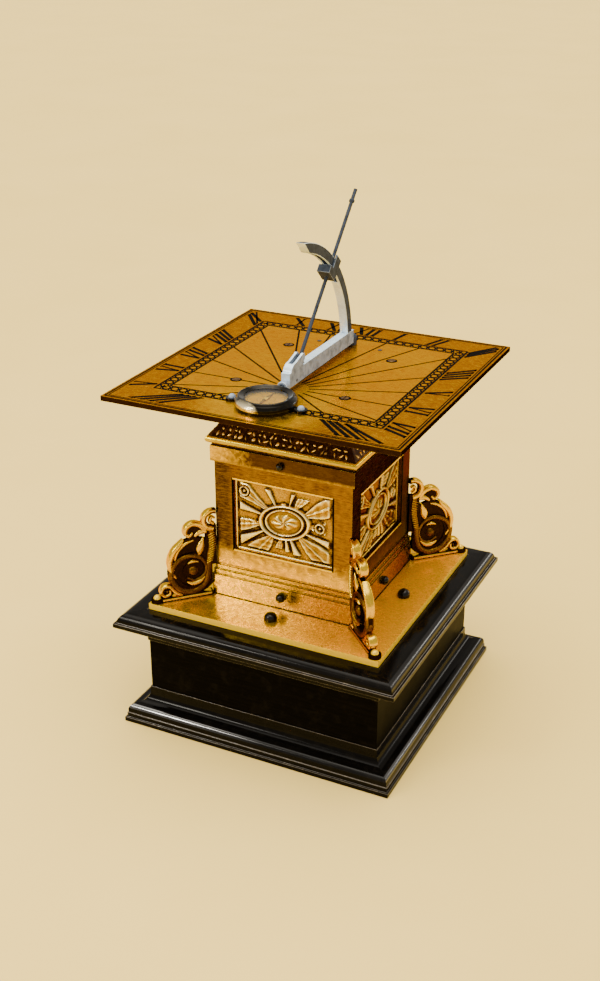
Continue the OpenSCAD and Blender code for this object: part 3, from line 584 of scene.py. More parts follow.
UPRIGHT_LINES = (250.0, 250.0, 2400.0)
DULL = (0.6, 0.3, 0.04)
# On the base plate's east strip, in mm, the tone turns more orange, a painted light, and the shine drops
PLATE_EAST = ("east", 35, 45)
# Darker from the middle of each side towards its right end, as seen from outside: painted shade.
GILT = gilt("gilt_brass", ((0.56, 0.42, 0.005), (0.43, 0.33, 0.003), (0.3, 0.17, 0.003)),
            shades=[("along", -4, 24, (0.27, 0.13, 0.0015))])
GILT_PLATE = gilt("gilt_plate", ((1.0, 0.62, 0.006), (0.88, 0.54, 0.004), (0.6, 0.28, 0.002)), shine=0.88,
                  shades=[(*PLATE_EAST, (1.0, 0.42, 0.003))], dull=(*PLATE_EAST, 0.5))
GILT_SIDE = gilt("gilt_side", ((1.0, 0.68, 0.02), (1.0, 0.6, 0.01), (0.9, 0.5, 0.005)),
                 rough=(0.2, 0.3), shine=0.05)
# A paler and less metallic gilt for rounded edges, lips and small heads: painted highlight.
GILT_EDGE = gilt("gilt_edge", ((1.0, 0.72, 0.03), (0.95, 0.62, 0.012), (0.7, 0.4, 0.005)),
                 rough=(0.2, 0.3), shine=0.45)
GILT_CORNICE = gilt("gilt_cornice", ((0.56, 0.42, 0.006), (0.42, 0.3, 0.004), (0.25, 0.12, 0.002)),
                    rough=(0.16, 0.26), shine=0.9)
# The dial turns darker in its border, and brighter round the compass, where a pool of light is painted.
GILT_DIAL = gilt("gilt_dial", ((1.0, 0.6, 0.03), (0.84, 0.37, 0.006), (0.36, 0.105, 0.002)),
                 rough=(0.22, 0.34), cloud=40.0, deep_share=0.55, streak_share=0.45, fleck=0.8,
                 shades=[("out", 55, 58, (0.42, 0.155, 0.003)), ("near", 38, 25, (1.0, 0.58, 0.015))])
# The south and west walls are dark as in the dial's shade, bright at the foot where the base plate's
# reflection is painted, darker on the left stile and lighter on the right: painted shade and reflection.
GILT_WALL = gilt("gilt_wall", ((0.27, 0.15, 0.003), (0.12, 0.05, 0.001), (0.04, 0.013, 0.001)),
                 rough=(0.26, 0.4), cloud=45.0, streaks=UPRIGHT_LINES, streak_share=0.5, graze=DULL,
                 shades=[("along", 26, 30, (0.22, 0.105, 0.002)), ("along", -26, -30, (0.04, 0.018, 0.002)),
                         ("height", 98, 90, (1.0, 0.63, 0.004))])
# The frieze is a dark band as in the cornice's shade, brighter at each side's left end and along its lower
# edge: painted shade and painted highlight.
GILT_FRIEZE = gilt("gilt_frieze", ((0.1, 0.05, 0.002), (0.035, 0.013, 0.001), (0.05, 0.02, 0.001)),
                   rough=(0.24, 0.36), cloud=60.0, streaks=UPRIGHT_LINES, streak_share=0.5, graze=DULL,
                   shades=[("along", -14, -32, (0.9, 0.56, 0.006)),
                           ("height", 143.2, 142.0, (0.4, 0.24, 0.004))])
# A darker copy of the wall finish for the east and north walls, painted shade, lighter at the foot and
# towards each wall's right end.
GILT_WALL_SHADE = gilt("gilt_wall_shade",
                       ((0.1, 0.055, 0.002), (0.04, 0.019, 0.001), (0.015, 0.007, 0.001)),
                       rough=(0.3, 0.44), cloud=45.0, streaks=UPRIGHT_LINES, streak_share=0.5,
                       graze=(0.24, 0.13, 0.025),
                       shades=[("along", 22, 30, (0.2, 0.1, 0.002)), ("height", 98, 88, (0.36, 0.2, 0.004))])
# Pale raised parts, in part a painted highlight, and near-black hollows.
GILT_RELIEF = gilt("gilt_relief", ((0.6, 0.4, 0.02), (0.3, 0.15, 0.005), (0.1, 0.04, 0.002)),
                   cloud=150.0, relief=(1.0, 0.88, 0.48))
# A darker copy of the relief finish for the east and north windows: painted shade.
GILT_RELIEF_SHADE = gilt("gilt_relief_shade",
                         ((0.36, 0.22, 0.015), (0.17, 0.08, 0.004), (0.06, 0.022, 0.001)),
                         rough=(0.24, 0.4), cloud=150.0, graze=DULL, relief=(0.62, 0.46, 0.14))
# Lit and shaded copies of one gilt for the brackets' carving: painted light on the bright bands, painted
# shade on the stem and volute. The shaded copy also darkens the dial plate's rounded edges.
GILT_CARVED = gilt("gilt_carved", ((1.0, 0.68, 0.04), (0.72, 0.44, 0.006), (0.34, 0.15, 0.002)),
                   rough=(0.18, 0.32), cloud=120.0)
GILT_SHADED = gilt("gilt_shaded", ((0.3, 0.16, 0.008), (0.09, 0.036, 0.002), (0.02, 0.008, 0.001)),
                   rough=(0.26, 0.42), cloud=170.0, deep_share=0.6)
# Near-black gilt, painted shade on the brackets' webs between the bands and on the dial plate's sides.
GILT_WEB = gilt("gilt_web", ((0.04, 0.018, 0.003), (0.018, 0.007, 0.0015), (0.008, 0.003, 0.001)),
                rough=(0.4, 0.6), cloud=160.0, graze=(0.2, 0.08, 0.02))
GILT_CARD = gilt("gilt_card", ((1.0, 0.62, 0.008), (0.85, 0.48, 0.003), (0.55, 0.26, 0.002)),
                 rough=(0.4, 0.5), cloud=200.0)

# The other finishes

BRONZE = dark_metal("dark_bronze", (0.025, 0.01, 0.0025), (0.16, 0.075, 0.015), 0.42)
ROOF_LEAF = dark_metal("roof_leaf", (0.05, 0.02, 0.005), (1.0, 0.72, 0.3), 0.3, patches=(170.0, 0.3, 0.52))
BLUED = dark_metal("blued_screw", (0.006, 0.005, 0.004), (0.03, 0.022, 0.014), 0.2, coat=0.4)
DIAL_SCREW = dark_metal("dial_screw", (0.1, 0.04, 0.006), (0.6, 0.32, 0.05), 0.3)
# The compass ring's outside turns bright towards the south-west: a painted highlight. The bowl has none.
BEZEL = dark_metal("dark_brass", (0.005, 0.004, 0.002), (0.03, 0.022, 0.006), 0.14, coat=0.25,
                   painted_glint=("towards_glint", 12.4, 14.4, (1.0, 0.88, 0.56)))
BOWL = dark_metal("bowl_brass", (0.005, 0.004, 0.002), (0.03, 0.022, 0.006), 0.14, coat=0.25)
STEEL = steel("bright_steel", (0.34, 0.42, 0.54), (0.02, 0.025, 0.036), (0.3, 0.45), shine=0.05)
# The palest steel, for the gnomon's upper and inner faces and rounded edges: painted highlight.
STEEL_HIGHLIGHT = steel("steel_highlight", (0.7, 0.86, 1.0), (0.4, 0.5, 0.64), (0.2, 0.3), shine=0.2)
# Dark grey steel; on the arc's sides and the north lug this darkness is painted shade.
STEEL_DARK = steel("grey_steel", (0.045, 0.058, 0.085), (0.006, 0.008, 0.012), (0.4, 0.55),
                   scales=(1500.0, 900.0, 900.0), shine=0.05)
WAX_AND_PAINTED_SHADOW = black_wax_and_painted_shadow("black_wax_and_painted_shadow")
WOOD_X, WOOD_Y = (black_wood(f"ebonised_wood_{axis.lower()}", axis, 1.06) for axis in "XY")
MOULDED_X, MOULDED_Y = (black_wood(f"moulded_wood_{axis.lower()}", axis, 1.15, gloss=0.08) for axis in "XY")
# The mouldings' pale edges: partly wear through to brown, partly a painted highlight.
WOOD_EDGE = black_wood("ebonised_wood_edge", "X", 1.5, gloss=0.14, wear_and_highlight=0.6)
POLISHED_HEAD = black_wood("polished_head", "X", 1.2, gloss=0.12)
POLISHED_HEAD_EAST = black_wood("polished_head_east", "Y", 1.38, gloss=0.12)
POLISHED_FOOT = black_wood("polished_foot", "X", 1.95, gloss=0.08, fade=(-50, 5, 0.06))
INNER_WOOD = bare_wood("inner_wood")
GLASS = clear_glass("clear_glass")


# Plinth

# Where the rounds of the lower and the upper moulding begin and end, in mm above their feet
FOOT_ROUND = (6.4, 9.8)
HEAD_ROUND = (13.2, 18.0)


def lower_profile():
    """Two fillets, a round, a cove and a small fillet, from the foot up: (distance out, height) in mm."""
    return np.concatenate([
        [(0, 0), (10.8, 0), (10.8, 2.5), (9.8, 2.5), (9.8, 5.0), (9.4, 5.0)],
        arc((6.1, 6.4), 3.3, 0, 90), arc((6.1, 15.2), 5.5, 270, 180)[1:], [(0.6, 18.4), (0, 18.4)],
    ])


def upper_profile():
    """A cove under a fillet, then a round up to the flat top: (distance out, height) in mm."""
    return np.concatenate([
        [(0, 0), (0.6, 0)], arc((10.1, 1.2), 9.5, 180, 90, 18), [(13, 10.7), (13, 13.2), (11.9, 13.2)],
        arc((6.8, 13.2), 4.8, 0, 90), [(0, 18)],
    ])


def mitred_length(k, profile, foot):
    """One side's length of moulding, its foot at a height in metres, with ends cut at 45 degrees."""
    out, z = np.array(profile).T * MM
    half, hairline = DIE_HALF + out, 0.05 * MM
    ends = [np.stack([s * (half - hairline), -half, foot + z], -1) for s in (-1, 1)]
    return turned(swept(np.stack(ends)), 90 * k)


def polish_round(mesh, low, high, finish):
    """Gives a polished finish to faces that lean back and have their middles between two heights."""
    mesh.materials.append(finish)
    tilt, height = triples(mesh.polygons, "normal")[:, 2], triples(mesh.polygons, "center")[:, 2]
    chosen = (tilt > 0.3) & (tilt < 0.93) & (height > low) & (height < high)
    last = len(mesh.materials) - 1
    mesh.polygons.foreach_set("material_index", np.where(chosen, last, 0).astype(np.int32))


def make_plinth():
    """On each side a board between two lengths of moulding whose rounds are polished; inside, plain wood."""
    for k, side in enumerate(SIDES):
        wood, moulded = ((WOOD_X, MOULDED_X), (WOOD_Y, MOULDED_Y))[k % 2]
        dressed(f"plinth_{side}_board", wood, bevel=0.25 * MM)
        head_polish = POLISHED_HEAD_EAST if side in SHADED_SIDES else POLISHED_HEAD
        lower = (f"lower_moulding_{side}", lower_profile(), FOOT_ROUND, POLISHED_FOOT)
        upper = (f"upper_moulding_{side}", upper_profile(), HEAD_ROUND, head_polish)
        for node, profile, rounded, polish in (lower, upper):
            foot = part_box(node)[0].z
            length = piece(f"{node}_piece", mitred_length(k, profile, foot), moulded,
                           replaces=(node,), smooth=24, bevel=0.3 * MM, edge=WOOD_EDGE, long_edges=60 * MM)
            polish_round(length.data, foot + rounded[0] * MM, foot + rounded[1] * MM, polish)
    dressed("plinth_lid_board", WOOD_X, bevel=0.1 * MM)
    for node in ("plinth_floor_board", "plinth_glue_blocks"):
        plain(node, INNER_WOOD)


# Relief in the windows

# How far a panel reaches behind the wall round its window, and half the window's width, in mm
PANEL_LAP = 2.5
WINDOW_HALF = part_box("relief_panel_south")[1].x / MM - PANEL_LAP

# The oval cartouche and the button in it: half their length and height in mm, and how far they are turned
CARTOUCHE, BUTTON, OVAL_TILT = (14.4, 9.6), (8.3, 4.4), math.radians(11)

# Each ray or leaf round the cartouche: its bearing and half-width in degrees, its reach, its kind
LEAVES = (
    (149, 13, 1.0, "curl"), (119, 5, 0.96, "ray"), (93, 12, 0.6, "dome"), (73, 4, 0.96, "ray"),
    (55, 9, 0.86, "leaf"), (28, 12, 1.0, "leaf"), (3, 11, 0.9, "curl"), (-16, 5, 1.0, "ray"),
    (-37, 14, 1.0, "leaf"), (-67, 8, 0.95, "ray"), (-84, 6, 0.9, "ray"), (-102, 8, 0.85, "leaf"),
    (-129, 14, 1.0, "leaf"), (-150, 6, 1.0, "ray"), (-167, 9, 1.0, "leaf"), (169, 6, 1.0, "ray"),
)


def leaf_height(kind, t, s, from_tip):
    """Height of one ray or leaf: t runs along it, s across it, and from_tip is in mm from its curl."""
    spread = {"ray": 0.35 + 0.65 * t, "leaf": 0.3 + 0.72 * np.sin(np.pi * (0.08 + 0.6 * t)),
              "curl": 0.42 + 0.5 * t, "dome": 1 - 0.5 * t}[kind]
    s = np.abs(s) / np.maximum(spread, 0.05)
    inside = np.clip((1 - s) * 5, 0, 1) * np.clip((1 - t) * 9, 0, 1) * (t > -0.05)
    if kind == "ray":
        return inside * (0.92 - 0.25 * s ** 2)
    if kind == "dome":
        return inside * (0.45 + 0.4 * np.sin(9 * t) ** 2)
    blade = inside * (0.42 + 0.4 * s ** 2 + 0.3 * np.exp(-(s / 0.16) ** 2) + 0.06 * np.cos(20 * t))
    if kind == "curl":
        ring = 0.95 * np.exp(-((from_tip - 2.3) / 0.65) ** 2) + 0.9 * np.exp(-(from_tip / 0.8) ** 2)
        blade = np.where(from_tip < 3.3, np.maximum(ring, 0.2), blade)
    return blade


def cartouche_height(x, z, u, v, oval):
    """An oval button in two rings on a punched ground: u and v are turned to its long and its short way."""
    across, upright = u / BUTTON[0], v / BUTTON[1]
    lens = np.hypot(across, upright)
    petals = 1 + 0.22 * np.cos(7 * np.arctan2(upright, across) + 4 * lens)
    button = 0.75 * np.clip(1 - lens ** 2, 0, 1) ** 0.5 * petals
    outer_ring = 0.98 * np.exp(-((oval - 0.92) / 0.09) ** 2)
    inner_ring = 0.88 * np.exp(-((oval - 0.7) / 0.055) ** 2)
    inside = np.maximum.reduce([outer_ring, inner_ring, button, np.full_like(u, 0.22)])
    ground = 0.13 + 0.05 * np.sin(4.1 * x + 1.3 * np.sin(2.3 * z)) * np.sin(3.7 * z + 1.1 * np.sin(2.9 * x))
    return np.where(oval < 1.04, inside, ground)


def relief_height(x, z, half_x, half_z):
    """Height of the carving at (x, z) in mm: the greatest of a cartouche, the leaves round it and a rim."""
    margin, cos, sin = 1.4, math.cos(OVAL_TILT), math.sin(OVAL_TILT)
    u, v = x * cos + z * sin, z * cos - x * sin
    oval = np.hypot(u / CARTOUCHE[0], v / CARTOUCHE[1])
    height = cartouche_height(x, z, u, v, oval)

    def to_rim(way):
        """From the middle to the rim along a bearing."""
        across, upright = np.abs(np.cos(way)) / (half_x - margin), np.abs(np.sin(way)) / (half_z - margin)
        return 1 / np.maximum(across, upright)

    bearing, away = np.arctan2(z, x), np.hypot(x, z)
    start = 1 / np.hypot(np.cos(bearing - OVAL_TILT) / 14.0, np.sin(bearing - OVAL_TILT) / 9.3)
    for degrees, half_width, length, kind in LEAVES:
        middle = math.radians(degrees)
        s = ((bearing - middle + np.pi) % (2 * np.pi) - np.pi) / math.radians(half_width)
        t = (away - start) / np.maximum(length * to_rim(bearing) - start, 1)
        tip = 0.93 * length * to_rim(middle) - 2.0
        from_tip = np.hypot(x - tip * math.cos(middle), z - tip * math.sin(middle))
        height = np.maximum(height, np.where(oval > 1.0, leaf_height(kind, t, s, from_tip), 0))
    rim = np.clip((np.maximum(np.abs(x) - half_x, np.abs(z) - half_z) + 0.9) / 0.4, 0, 1) * 0.5
    return np.maximum(height, rim)


def cavity(height, step, reach):
    """0.5 plus how far each height stands above its surroundings, a Gaussian mean reach mm wide."""
    rows, columns = (np.fft.fftfreq(n, step) for n in height.shape)
    weight = np.exp(-2 * (np.pi * reach) ** 2 * (rows[:, None] ** 2 + columns[None, :] ** 2))
    return np.clip(0.5 + height - np.fft.ifft2(np.fft.fft2(height) * weight).real, 0, 1)


def relief_panel(side, k, finish):
    """A panel: the carved height over a grid, with walls down to a flat back, on a thin sheet."""
    low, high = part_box("relief_panel_south")
    clearance, tallest, step, surroundings = 0.05, 1.75, 0.27, 1.1
    half_x, half_z = WINDOW_HALF - clearance, (high.z - low.z) / 2 / MM - PANEL_LAP - clearance
    across, upright = (np.linspace(-half, half, int(2 * half / step)) for half in (half_x, half_z))
    z, x = np.meshgrid(upright, across, indexing="ij")
    height = relief_height(x, z, half_x, half_z)
    # The carving's ground lies 3 mm behind the wall's face, its flat back 1 mm behind the ground
    ground, middle = 3 * MM - BOX_HALF, (low.z + high.z) / 2
    front = np.stack([x * MM, ground - height * tallest * MM, middle + z * MM], -1).reshape(-1, 3)
    edge = grid_rim(*x.shape)
    back = front[edge].copy()
    back[:, 1] = ground + 1.0 * MM
    n, around = len(front), np.arange(len(edge))
    walls = np.stack([edge, n + around, n + np.roll(around, -1), np.roll(edge, -1)], -1).tolist()
    carving = np.concatenate([front, back]), grid_faces(*x.shape) + walls + [(n + around).tolist()]
    sheet = box_shape(low.x, high.x, ground + 0.02 * MM, ground + 1.2 * MM, low.z, high.z)
    # Each point's height above its surroundings: raised parts turn pale, in part a painted highlight
    wear_and_highlight = np.full(n + len(edge) + len(sheet[0]), 0.5)
    wear_and_highlight[:n] = cavity(height, step, surroundings).ravel()
    piece(f"relief_panel_{side}_piece", turned(joined([carving, sheet]), 90 * k), finish,
          replaces=(f"relief_panel_{side}",), smooth=70, relief=wear_and_highlight)


# Box

def window_trim(k):
    """Bars round a window on the wall's face: a pale lip along top and bottom, a dark line down each side.

    The lips' pale finish is a painted highlight, and the dark lines paint the shadow of the window's sides.
    """
    low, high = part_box("relief_panel_south")
    z0, z1 = low.z / MM + PANEL_LAP, high.z / MM - PANEL_LAP
    face, lip, line, reach = -BOX_HALF / MM, 0.75, 0.45, WINDOW_HALF + 0.2
    lips = [box_shape(-reach, reach, face - 0.25, face + 0.3, z, z + lip) for z in (z0 - lip, z1)]
    middles = [s * (WINDOW_HALF + line) for s in (-1, 1)]
    lines = [box_shape(x - line, x + line, face - 0.03, face + 0.3, z0 - 0.7, z1 + 0.7) for x in middles]
    scale = np.diag([MM, MM, MM, 1.0])
    return [turned(placed(joined(shapes), scale), 90 * k) for shapes in (lips, lines)]


def square_line(half, z):
    """A thin dark line all round the box at height z, a painted shadow: a square section carried round a
    square, in mm.
    """
    deep, proud, rise = -0.12, 0.06, 0.15
    section = np.array([(deep, -rise), (proud, -rise), (proud, rise), (deep, rise)])
    rings = [np.stack([sx * (half + section[:, 0]), sy * (half + section[:, 0]), z + section[:, 1]], -1)
             for sx, sy in ((-1, -1), (1, -1), (1, 1), (-1, 1))]
    return swept_ring(np.stack(rings) * MM)


def make_box():
    """The base plate, the walls with their windows and bands, the cornice, the neck and the screws."""
    dressed("base_plate", GILT_SIDE, bevel=0.9 * MM, edge=GILT_EDGE,
            faces=((UP, 0.5, GILT_PLATE),))
    lips, lines = zip(*(window_trim(k) for k in range(4)))
    piece("window_lips", joined(lips), GILT_EDGE)
    plate, (frieze_low, frieze_high) = PLATE_TOP / MM, (corner.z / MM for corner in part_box("frieze_band"))
    # Half the width and the height of each dark line round the box: painted shadow in the skirt's steps
    # and at the frieze's edges
    skirt_lines = [(37.75, plate + 16.8), (38.2, plate + 14.1), (38.8, plate + 11.4), (39.0, plate + 0.15)]
    frieze_lines = [(37.15, frieze_low - 0.1), (38.1, frieze_high + 0.12)]
    all_round = [square_line(half, z) for half, z in skirt_lines + frieze_lines]
    piece("painted_shadow_lines", joined([*lines, *all_round]), WAX_AND_PAINTED_SHADOW)
    for k, side in enumerate(SIDES):
        # The east and north walls and windows take the darker copies: painted shade
        wall, carved = ((GILT_WALL, GILT_RELIEF), (GILT_WALL_SHADE, GILT_RELIEF_SHADE))[side in SHADED_SIDES]
        dressed(f"box_{side}_wall", wall, bevel=0.15 * MM, edge=GILT)
        relief_panel(side, k, carved)
    dressed("skirt_band", GILT, bevel=0.16 * MM, edge=GILT_EDGE)
    # The frieze's east and north faces take the darker wall finish: painted shade
    dressed("frieze_band", GILT_FRIEZE, bevel=0.3 * MM, edge=GILT_EDGE,
            faces=(((1, 0, 0), 0.5, GILT_WALL_SHADE), ((0, 1, 0), 0.5, GILT_WALL_SHADE)))
    dressed("cornice_moulding", GILT_CORNICE, smooth=40)
    dressed("cornice_roof", BRONZE, bevel=0.2 * MM)
    dressed("dial_neck", BRONZE, smooth=40)
    dressed("box_top_frame", BRONZE, bevel=0.15 * MM)
    for node in ("base_plate_screws", "skirt_screws", "frieze_screws"):
        dressed(node, BLUED, smooth=50)
    dressed("scroll_screws", GILT_EDGE, smooth=50)
    plain("box_floor", GILT_WEB)
    plain("box_floor_screws", BLUED)


# Leaves on the roof

# The rows from the foot up: how far up the slope, and the leaves' size
LEAF_ROWS = ((0.2, 1.0), (0.48, 0.85), (0.76, 0.75))


def leaf_dome(length, width, height):
    """A small leaf: half-width w/2 (1 - |t|^1.6) at t along it, height h (1 - s^2) (1 - t^2)^0.6."""
    rows, columns = 5, 8
    t = np.linspace(-1, 1, columns)[:, None]
    s = np.linspace(-1, 1, rows)[None, :]
    x = np.broadcast_to(t * length / 2, (columns, rows))
    y = width / 2 * (1 - np.abs(t) ** 1.6) * s
    z = height * (1 - s ** 2) * (1 - t ** 2) ** 0.6 - 0.05 * height
    top = np.stack([x, y, z], -1).reshape(-1, 3)
    under = top * [1, 1, 0] - [0, 0, 0.25 * height]
    faces, rim, n = grid_faces(columns, rows), grid_rim(columns, rows), len(top)
    after = np.roll(rim, -1)
    sides = np.stack([after, rim, rim + n, after + n], -1).tolist()
    return np.concatenate([top, under]), faces + [[n + c for c in face[::-1]] for face in faces] + sides


def make_roof_leaves():
    """Staggered rows of small cast leaves on the four slopes of the roof, each a little different."""
    rng = np.random.default_rng(7)
    foot_half, head_half, pitch, margin = ROOF_HIGH.x, 33.0 * MM, 3.1 * MM, 2.4 * MM
    slope = Vector((0, foot_half - head_half, ROOF_HIGH.z - ROOF_LOW.z))
    east, up = Vector((1, 0, 0)), slope.normalized()
    normal = east.cross(up)
    base = Matrix((east, up, normal)).transposed().to_4x4()
    shapes = []
    for k in range(4):
        for row, (share, size) in enumerate(LEAF_ROWS):
            half = foot_half + (head_half - foot_half) * share - margin
            count = int(2 * half / pitch)
            for i in range(count):
                x = -half + 2 * half * (i + 0.5 + 0.25 * (row % 2)) / count + rng.normal(0, 0.5) * MM
                lean = math.radians(90 + rng.normal(0, 40) + (28 if i % 2 else -28))
                long, wide = rng.uniform(1.8, 3.8) * size * MM, rng.uniform(0.9, 1.9) * size * MM
                base.translation = Vector((x, -foot_half, ROOF_LOW.z)) + slope * share - normal * 0.02 * MM
                leaf = placed(leaf_dome(long, wide, 0.6 * MM), base @ Matrix.Rotation(lean, 4, "Z"))
                shapes.append(turned(leaf, 90 * k))
    piece("roof_leaves", joined(shapes), ROOF_LEAF, smooth=60)


# Scroll brackets. A bracket's own places are in mm: x out from the box's corner, y up from the base plate

def cushion(sides):
    """A square section with rounded corners: powers of cos a and sin a, with their signs kept."""
    a = np.linspace(0, 2 * np.pi, sides, endpoint=False)
    powers = ((np.cos(a), 0.75), (np.sin(a), 0.7))
    return np.stack([np.sign(value) * np.abs(value) ** power for value, power in powers], -1)


def spiral(centre, knots):
    """Knots of a band from (angle in degrees, radius, half-width, half-depth) round a centre."""
    angle, radius, width, depth = np.array(knots, float).T
    angle = np.radians(angle)
    x, y = centre[0] + radius * np.cos(angle), centre[1] + radius * np.sin(angle)
    return np.stack([x, y, width, depth], -1)


def band(knots, steps=8):
    """A cushion section carried along a smooth line through knots of (x, y, half-width, half-depth)."""
    line = curve_through(knots, steps)
    path, width, depth = line[:, :2], line[:, 2], line[:, 3]
    along = np.gradient(path, axis=0)
    along /= np.linalg.norm(along, axis=1)[:, None]
    across = np.stack([-along[:, 1], along[:, 0]], -1)
    section = cushion(20)
    rings = np.empty((len(path), len(section), 3))
    rings[..., :2] = path[:, None] + across[:, None] * (section[None, :, :1] * width[:, None, None])
    rings[..., 2] = section[None, :, 1] * depth[:, None]
    return swept(rings)


def boss(centre, radius, depth):
    """A button on both faces of the bracket: a dome z = depth sqrt(1 - r^2) turned about its middle."""
    a = np.linspace(-np.pi / 2, np.pi / 2, 17)
    points, faces = lathe(np.stack([radius * np.cos(a), depth * np.sin(a)], -1), 32)
    return points + [*centre, 0], faces


# The middles of a bracket's curls: the eye of the volute, its breast, the curl at the head and at the foot
EYE, BREAST, CURL, FOOT = (12.8, 15.0), (12.3, 19.9), (1.9, 42.0), (26.9, 5.5)
# The bands, as knots of (x, y, half-width, half-depth): the stem runs on into the volute, both in the
# finish with painted shade
STEM = [(3.2, 38.2, 1.5, 1.9), (2.6, 33, 1.9, 2.1), (2.9, 27, 2.1, 2.2), (4.2, 21, 2.0, 2.2)]
VOLUTE = spiral(EYE, [(178, 8.1, 1.8, 2.2), (205, 8.3, 1.7, 2.2), (235, 9.9, 1.6, 2.2), (268, 11.5, 1.6, 2.2),
                      (305, 11.9, 1.6, 2.2), (345, 11.8, 1.6, 2.2), (385, 11.0, 1.5, 2.2),
                      (430, 9.3, 1.3, 2.15), (475, 8.0, 1.15, 2.1), (520, 7.0, 1.05, 2.1),
                      (565, 6.2, 0.95, 2.05), (620, 5.4, 0.85, 2.0), (680, 4.7, 0.7, 1.8)])
FOOT_CURL = spiral(FOOT, [(120, 3.0, 1.0, 2.2), (60, 3.1, 1.0, 2.2), (0, 3.0, 1.0, 2.2), (-60, 2.7, 0.9, 2.1),
                          (-130, 2.2, 0.8, 1.9), (-200, 1.6, 0.6, 1.7)])
# Head curl and its inner curl, breast, tendril, bud, crest leaf and its vein, foot, strip, rims of the eye
BRIGHT_BANDS = (
    spiral(CURL, [(104, 4.9, 0.9, 1.7), (70, 5.0, 1.15, 2.1), (30, 5.0, 1.3, 2.2), (-10, 4.9, 1.35, 2.2),
                  (-50, 4.9, 1.4, 2.2), (-88, 5.0, 1.5, 2.0)]),
    spiral(CURL, [(150, 1.2, 0.5, 1.2), (60, 1.5, 0.8, 1.5), (-30, 1.7, 0.9, 1.5), (-100, 2.4, 0.8, 1.4)]),
    spiral(BREAST, [(-38, 12.3, 0.7, 1.6), (-15, 12.5, 1.2, 2.2), (10, 12.6, 1.5, 2.3), (35, 12.5, 1.7, 2.3),
                    (55, 12.7, 1.5, 2.1), (68, 14.2, 0.6, 1.5)]),
    [(22.2, 22.5, 0.6, 1.5), (20.6, 27, 0.9, 1.8), (17.0, 30.6, 0.9, 1.8), (12.3, 32.2, 0.5, 1.4)],
    [(9.6, 23.6, 0.9, 1.5), (9.0, 26.5, 2.3, 1.9), (8.2, 29.4, 1.8, 1.8), (7.2, 32.6, 0.4, 1.3)],
    [(5.8, 37.0, 1.6, 1.9), (8.6, 40.0, 1.5, 2.1), (12.4, 41.2, 1.4, 2.2), (15.6, 39.6, 1.3, 2.2),
     (16.4, 36.6, 1.2, 2.1), (14.4, 34.8, 1.0, 1.9), (12.6, 36.4, 0.7, 1.6)],
    [(5.6, 36.2, 1.3, 1.7), (9.0, 36.0, 1.4, 1.8), (11.6, 34.2, 0.8, 1.5)],
    [(19, 2.2, 0.8, 1.6), (22.4, 4.4, 1.0, 2.0), *FOOT_CURL],
    [(3.8, 1.2, 1.05, 2.3), (15, 1.15, 1.05, 2.3), (29.4, 1.1, 1.0, 2.2)],
    spiral(EYE, [(215, 6.9, 0.5, 2.0), (245, 7.0, 1.3, 2.3), (275, 6.9, 1.3, 2.3), (305, 6.6, 0.5, 2.0)]),
    spiral(EYE, [(60, 5.6, 0.5, 2.1), (85, 5.7, 1.0, 2.35), (115, 5.7, 0.5, 2.1)]),
)


def stem_notches():
    """Thirteen small cross cuts up the stem, each a short bent band."""
    shapes = []
    for t in np.linspace(0, 1, 13):
        x, y = 4.4 - 1.7 * math.sin(2.4 * t), 19.5 + 15.5 * t
        knots = [(x - 1.5, y + 0.5, 0.28, 2.25), (x, y, 0.34, 2.5), (x + 1.6, y - 0.9, 0.28, 2.2)]
        shapes.append(band(knots, steps=3))
    return shapes


def make_brackets():
    """Each bracket: a web, which is the CAD outline thinned above its strip, under carved bands."""
    bright = joined([*(band(knots) for knots in BRIGHT_BANDS), *stem_notches()])
    shaded = joined([band([*STEM, *VOLUTE]), boss(EYE, 2.9, 2.5), boss(FOOT, 0.9, 2.0)])
    taken_off, strip_top = 0.48, PLATE_TOP + 2.05 * MM
    for k, corner in enumerate(CORNERS):
        turn = math.radians(45 + 90 * k)
        out, side = Vector((math.cos(turn), math.sin(turn), 0)), Vector((-math.sin(turn), math.cos(turn), 0))
        node = f"scroll_bracket_{corner}"
        points, faces = mesh_shape(frame["nodes"][node])
        thinner = points - np.outer(taken_off * (points @ np.array(side)), np.array(side))
        web = np.where(points[:, 2:] < strip_top, points, thinner), faces
        # The web's near-black paints the shade between the bands
        piece(f"scroll_web_{corner}", web, GILT_WEB, replaces=(node,))
        matrix = Matrix((out * MM, Vector((0, 0, MM)), -side * MM)).transposed().to_4x4()
        matrix.translation = out * BOX_HALF * math.sqrt(2) + Vector((0, 0, PLATE_TOP))
        # The bright bands take the lit copy of the gilt, the stem and volute the shaded one: painted light
        # and shade
        piece(f"scroll_carving_{corner}", placed(bright, matrix), GILT_CARVED, smooth=60)
        piece(f"scroll_volute_{corner}", placed(shaded, matrix), GILT_SHADED, smooth=60)


# Dial. Its rectangles are (x low, x high, y low, y high) in mm

HOUR_CENTRE = np.array([0.0, STYLE_FOOT.y - (STYLE_FOOT.z - DIAL_TOP) / math.tan(STYLE_ANGLE)]) / MM
CHAIN_IN = (-52.5, 52.5, -49.5, 52.5)
CHAIN_OUT = (-58.0, 58.0, -55.0, 58.0)
BORDER = (-72.2, 72.2, -72.2, 72.2)
OUTER_BORDER = tuple(1.018 * side for side in BORDER)
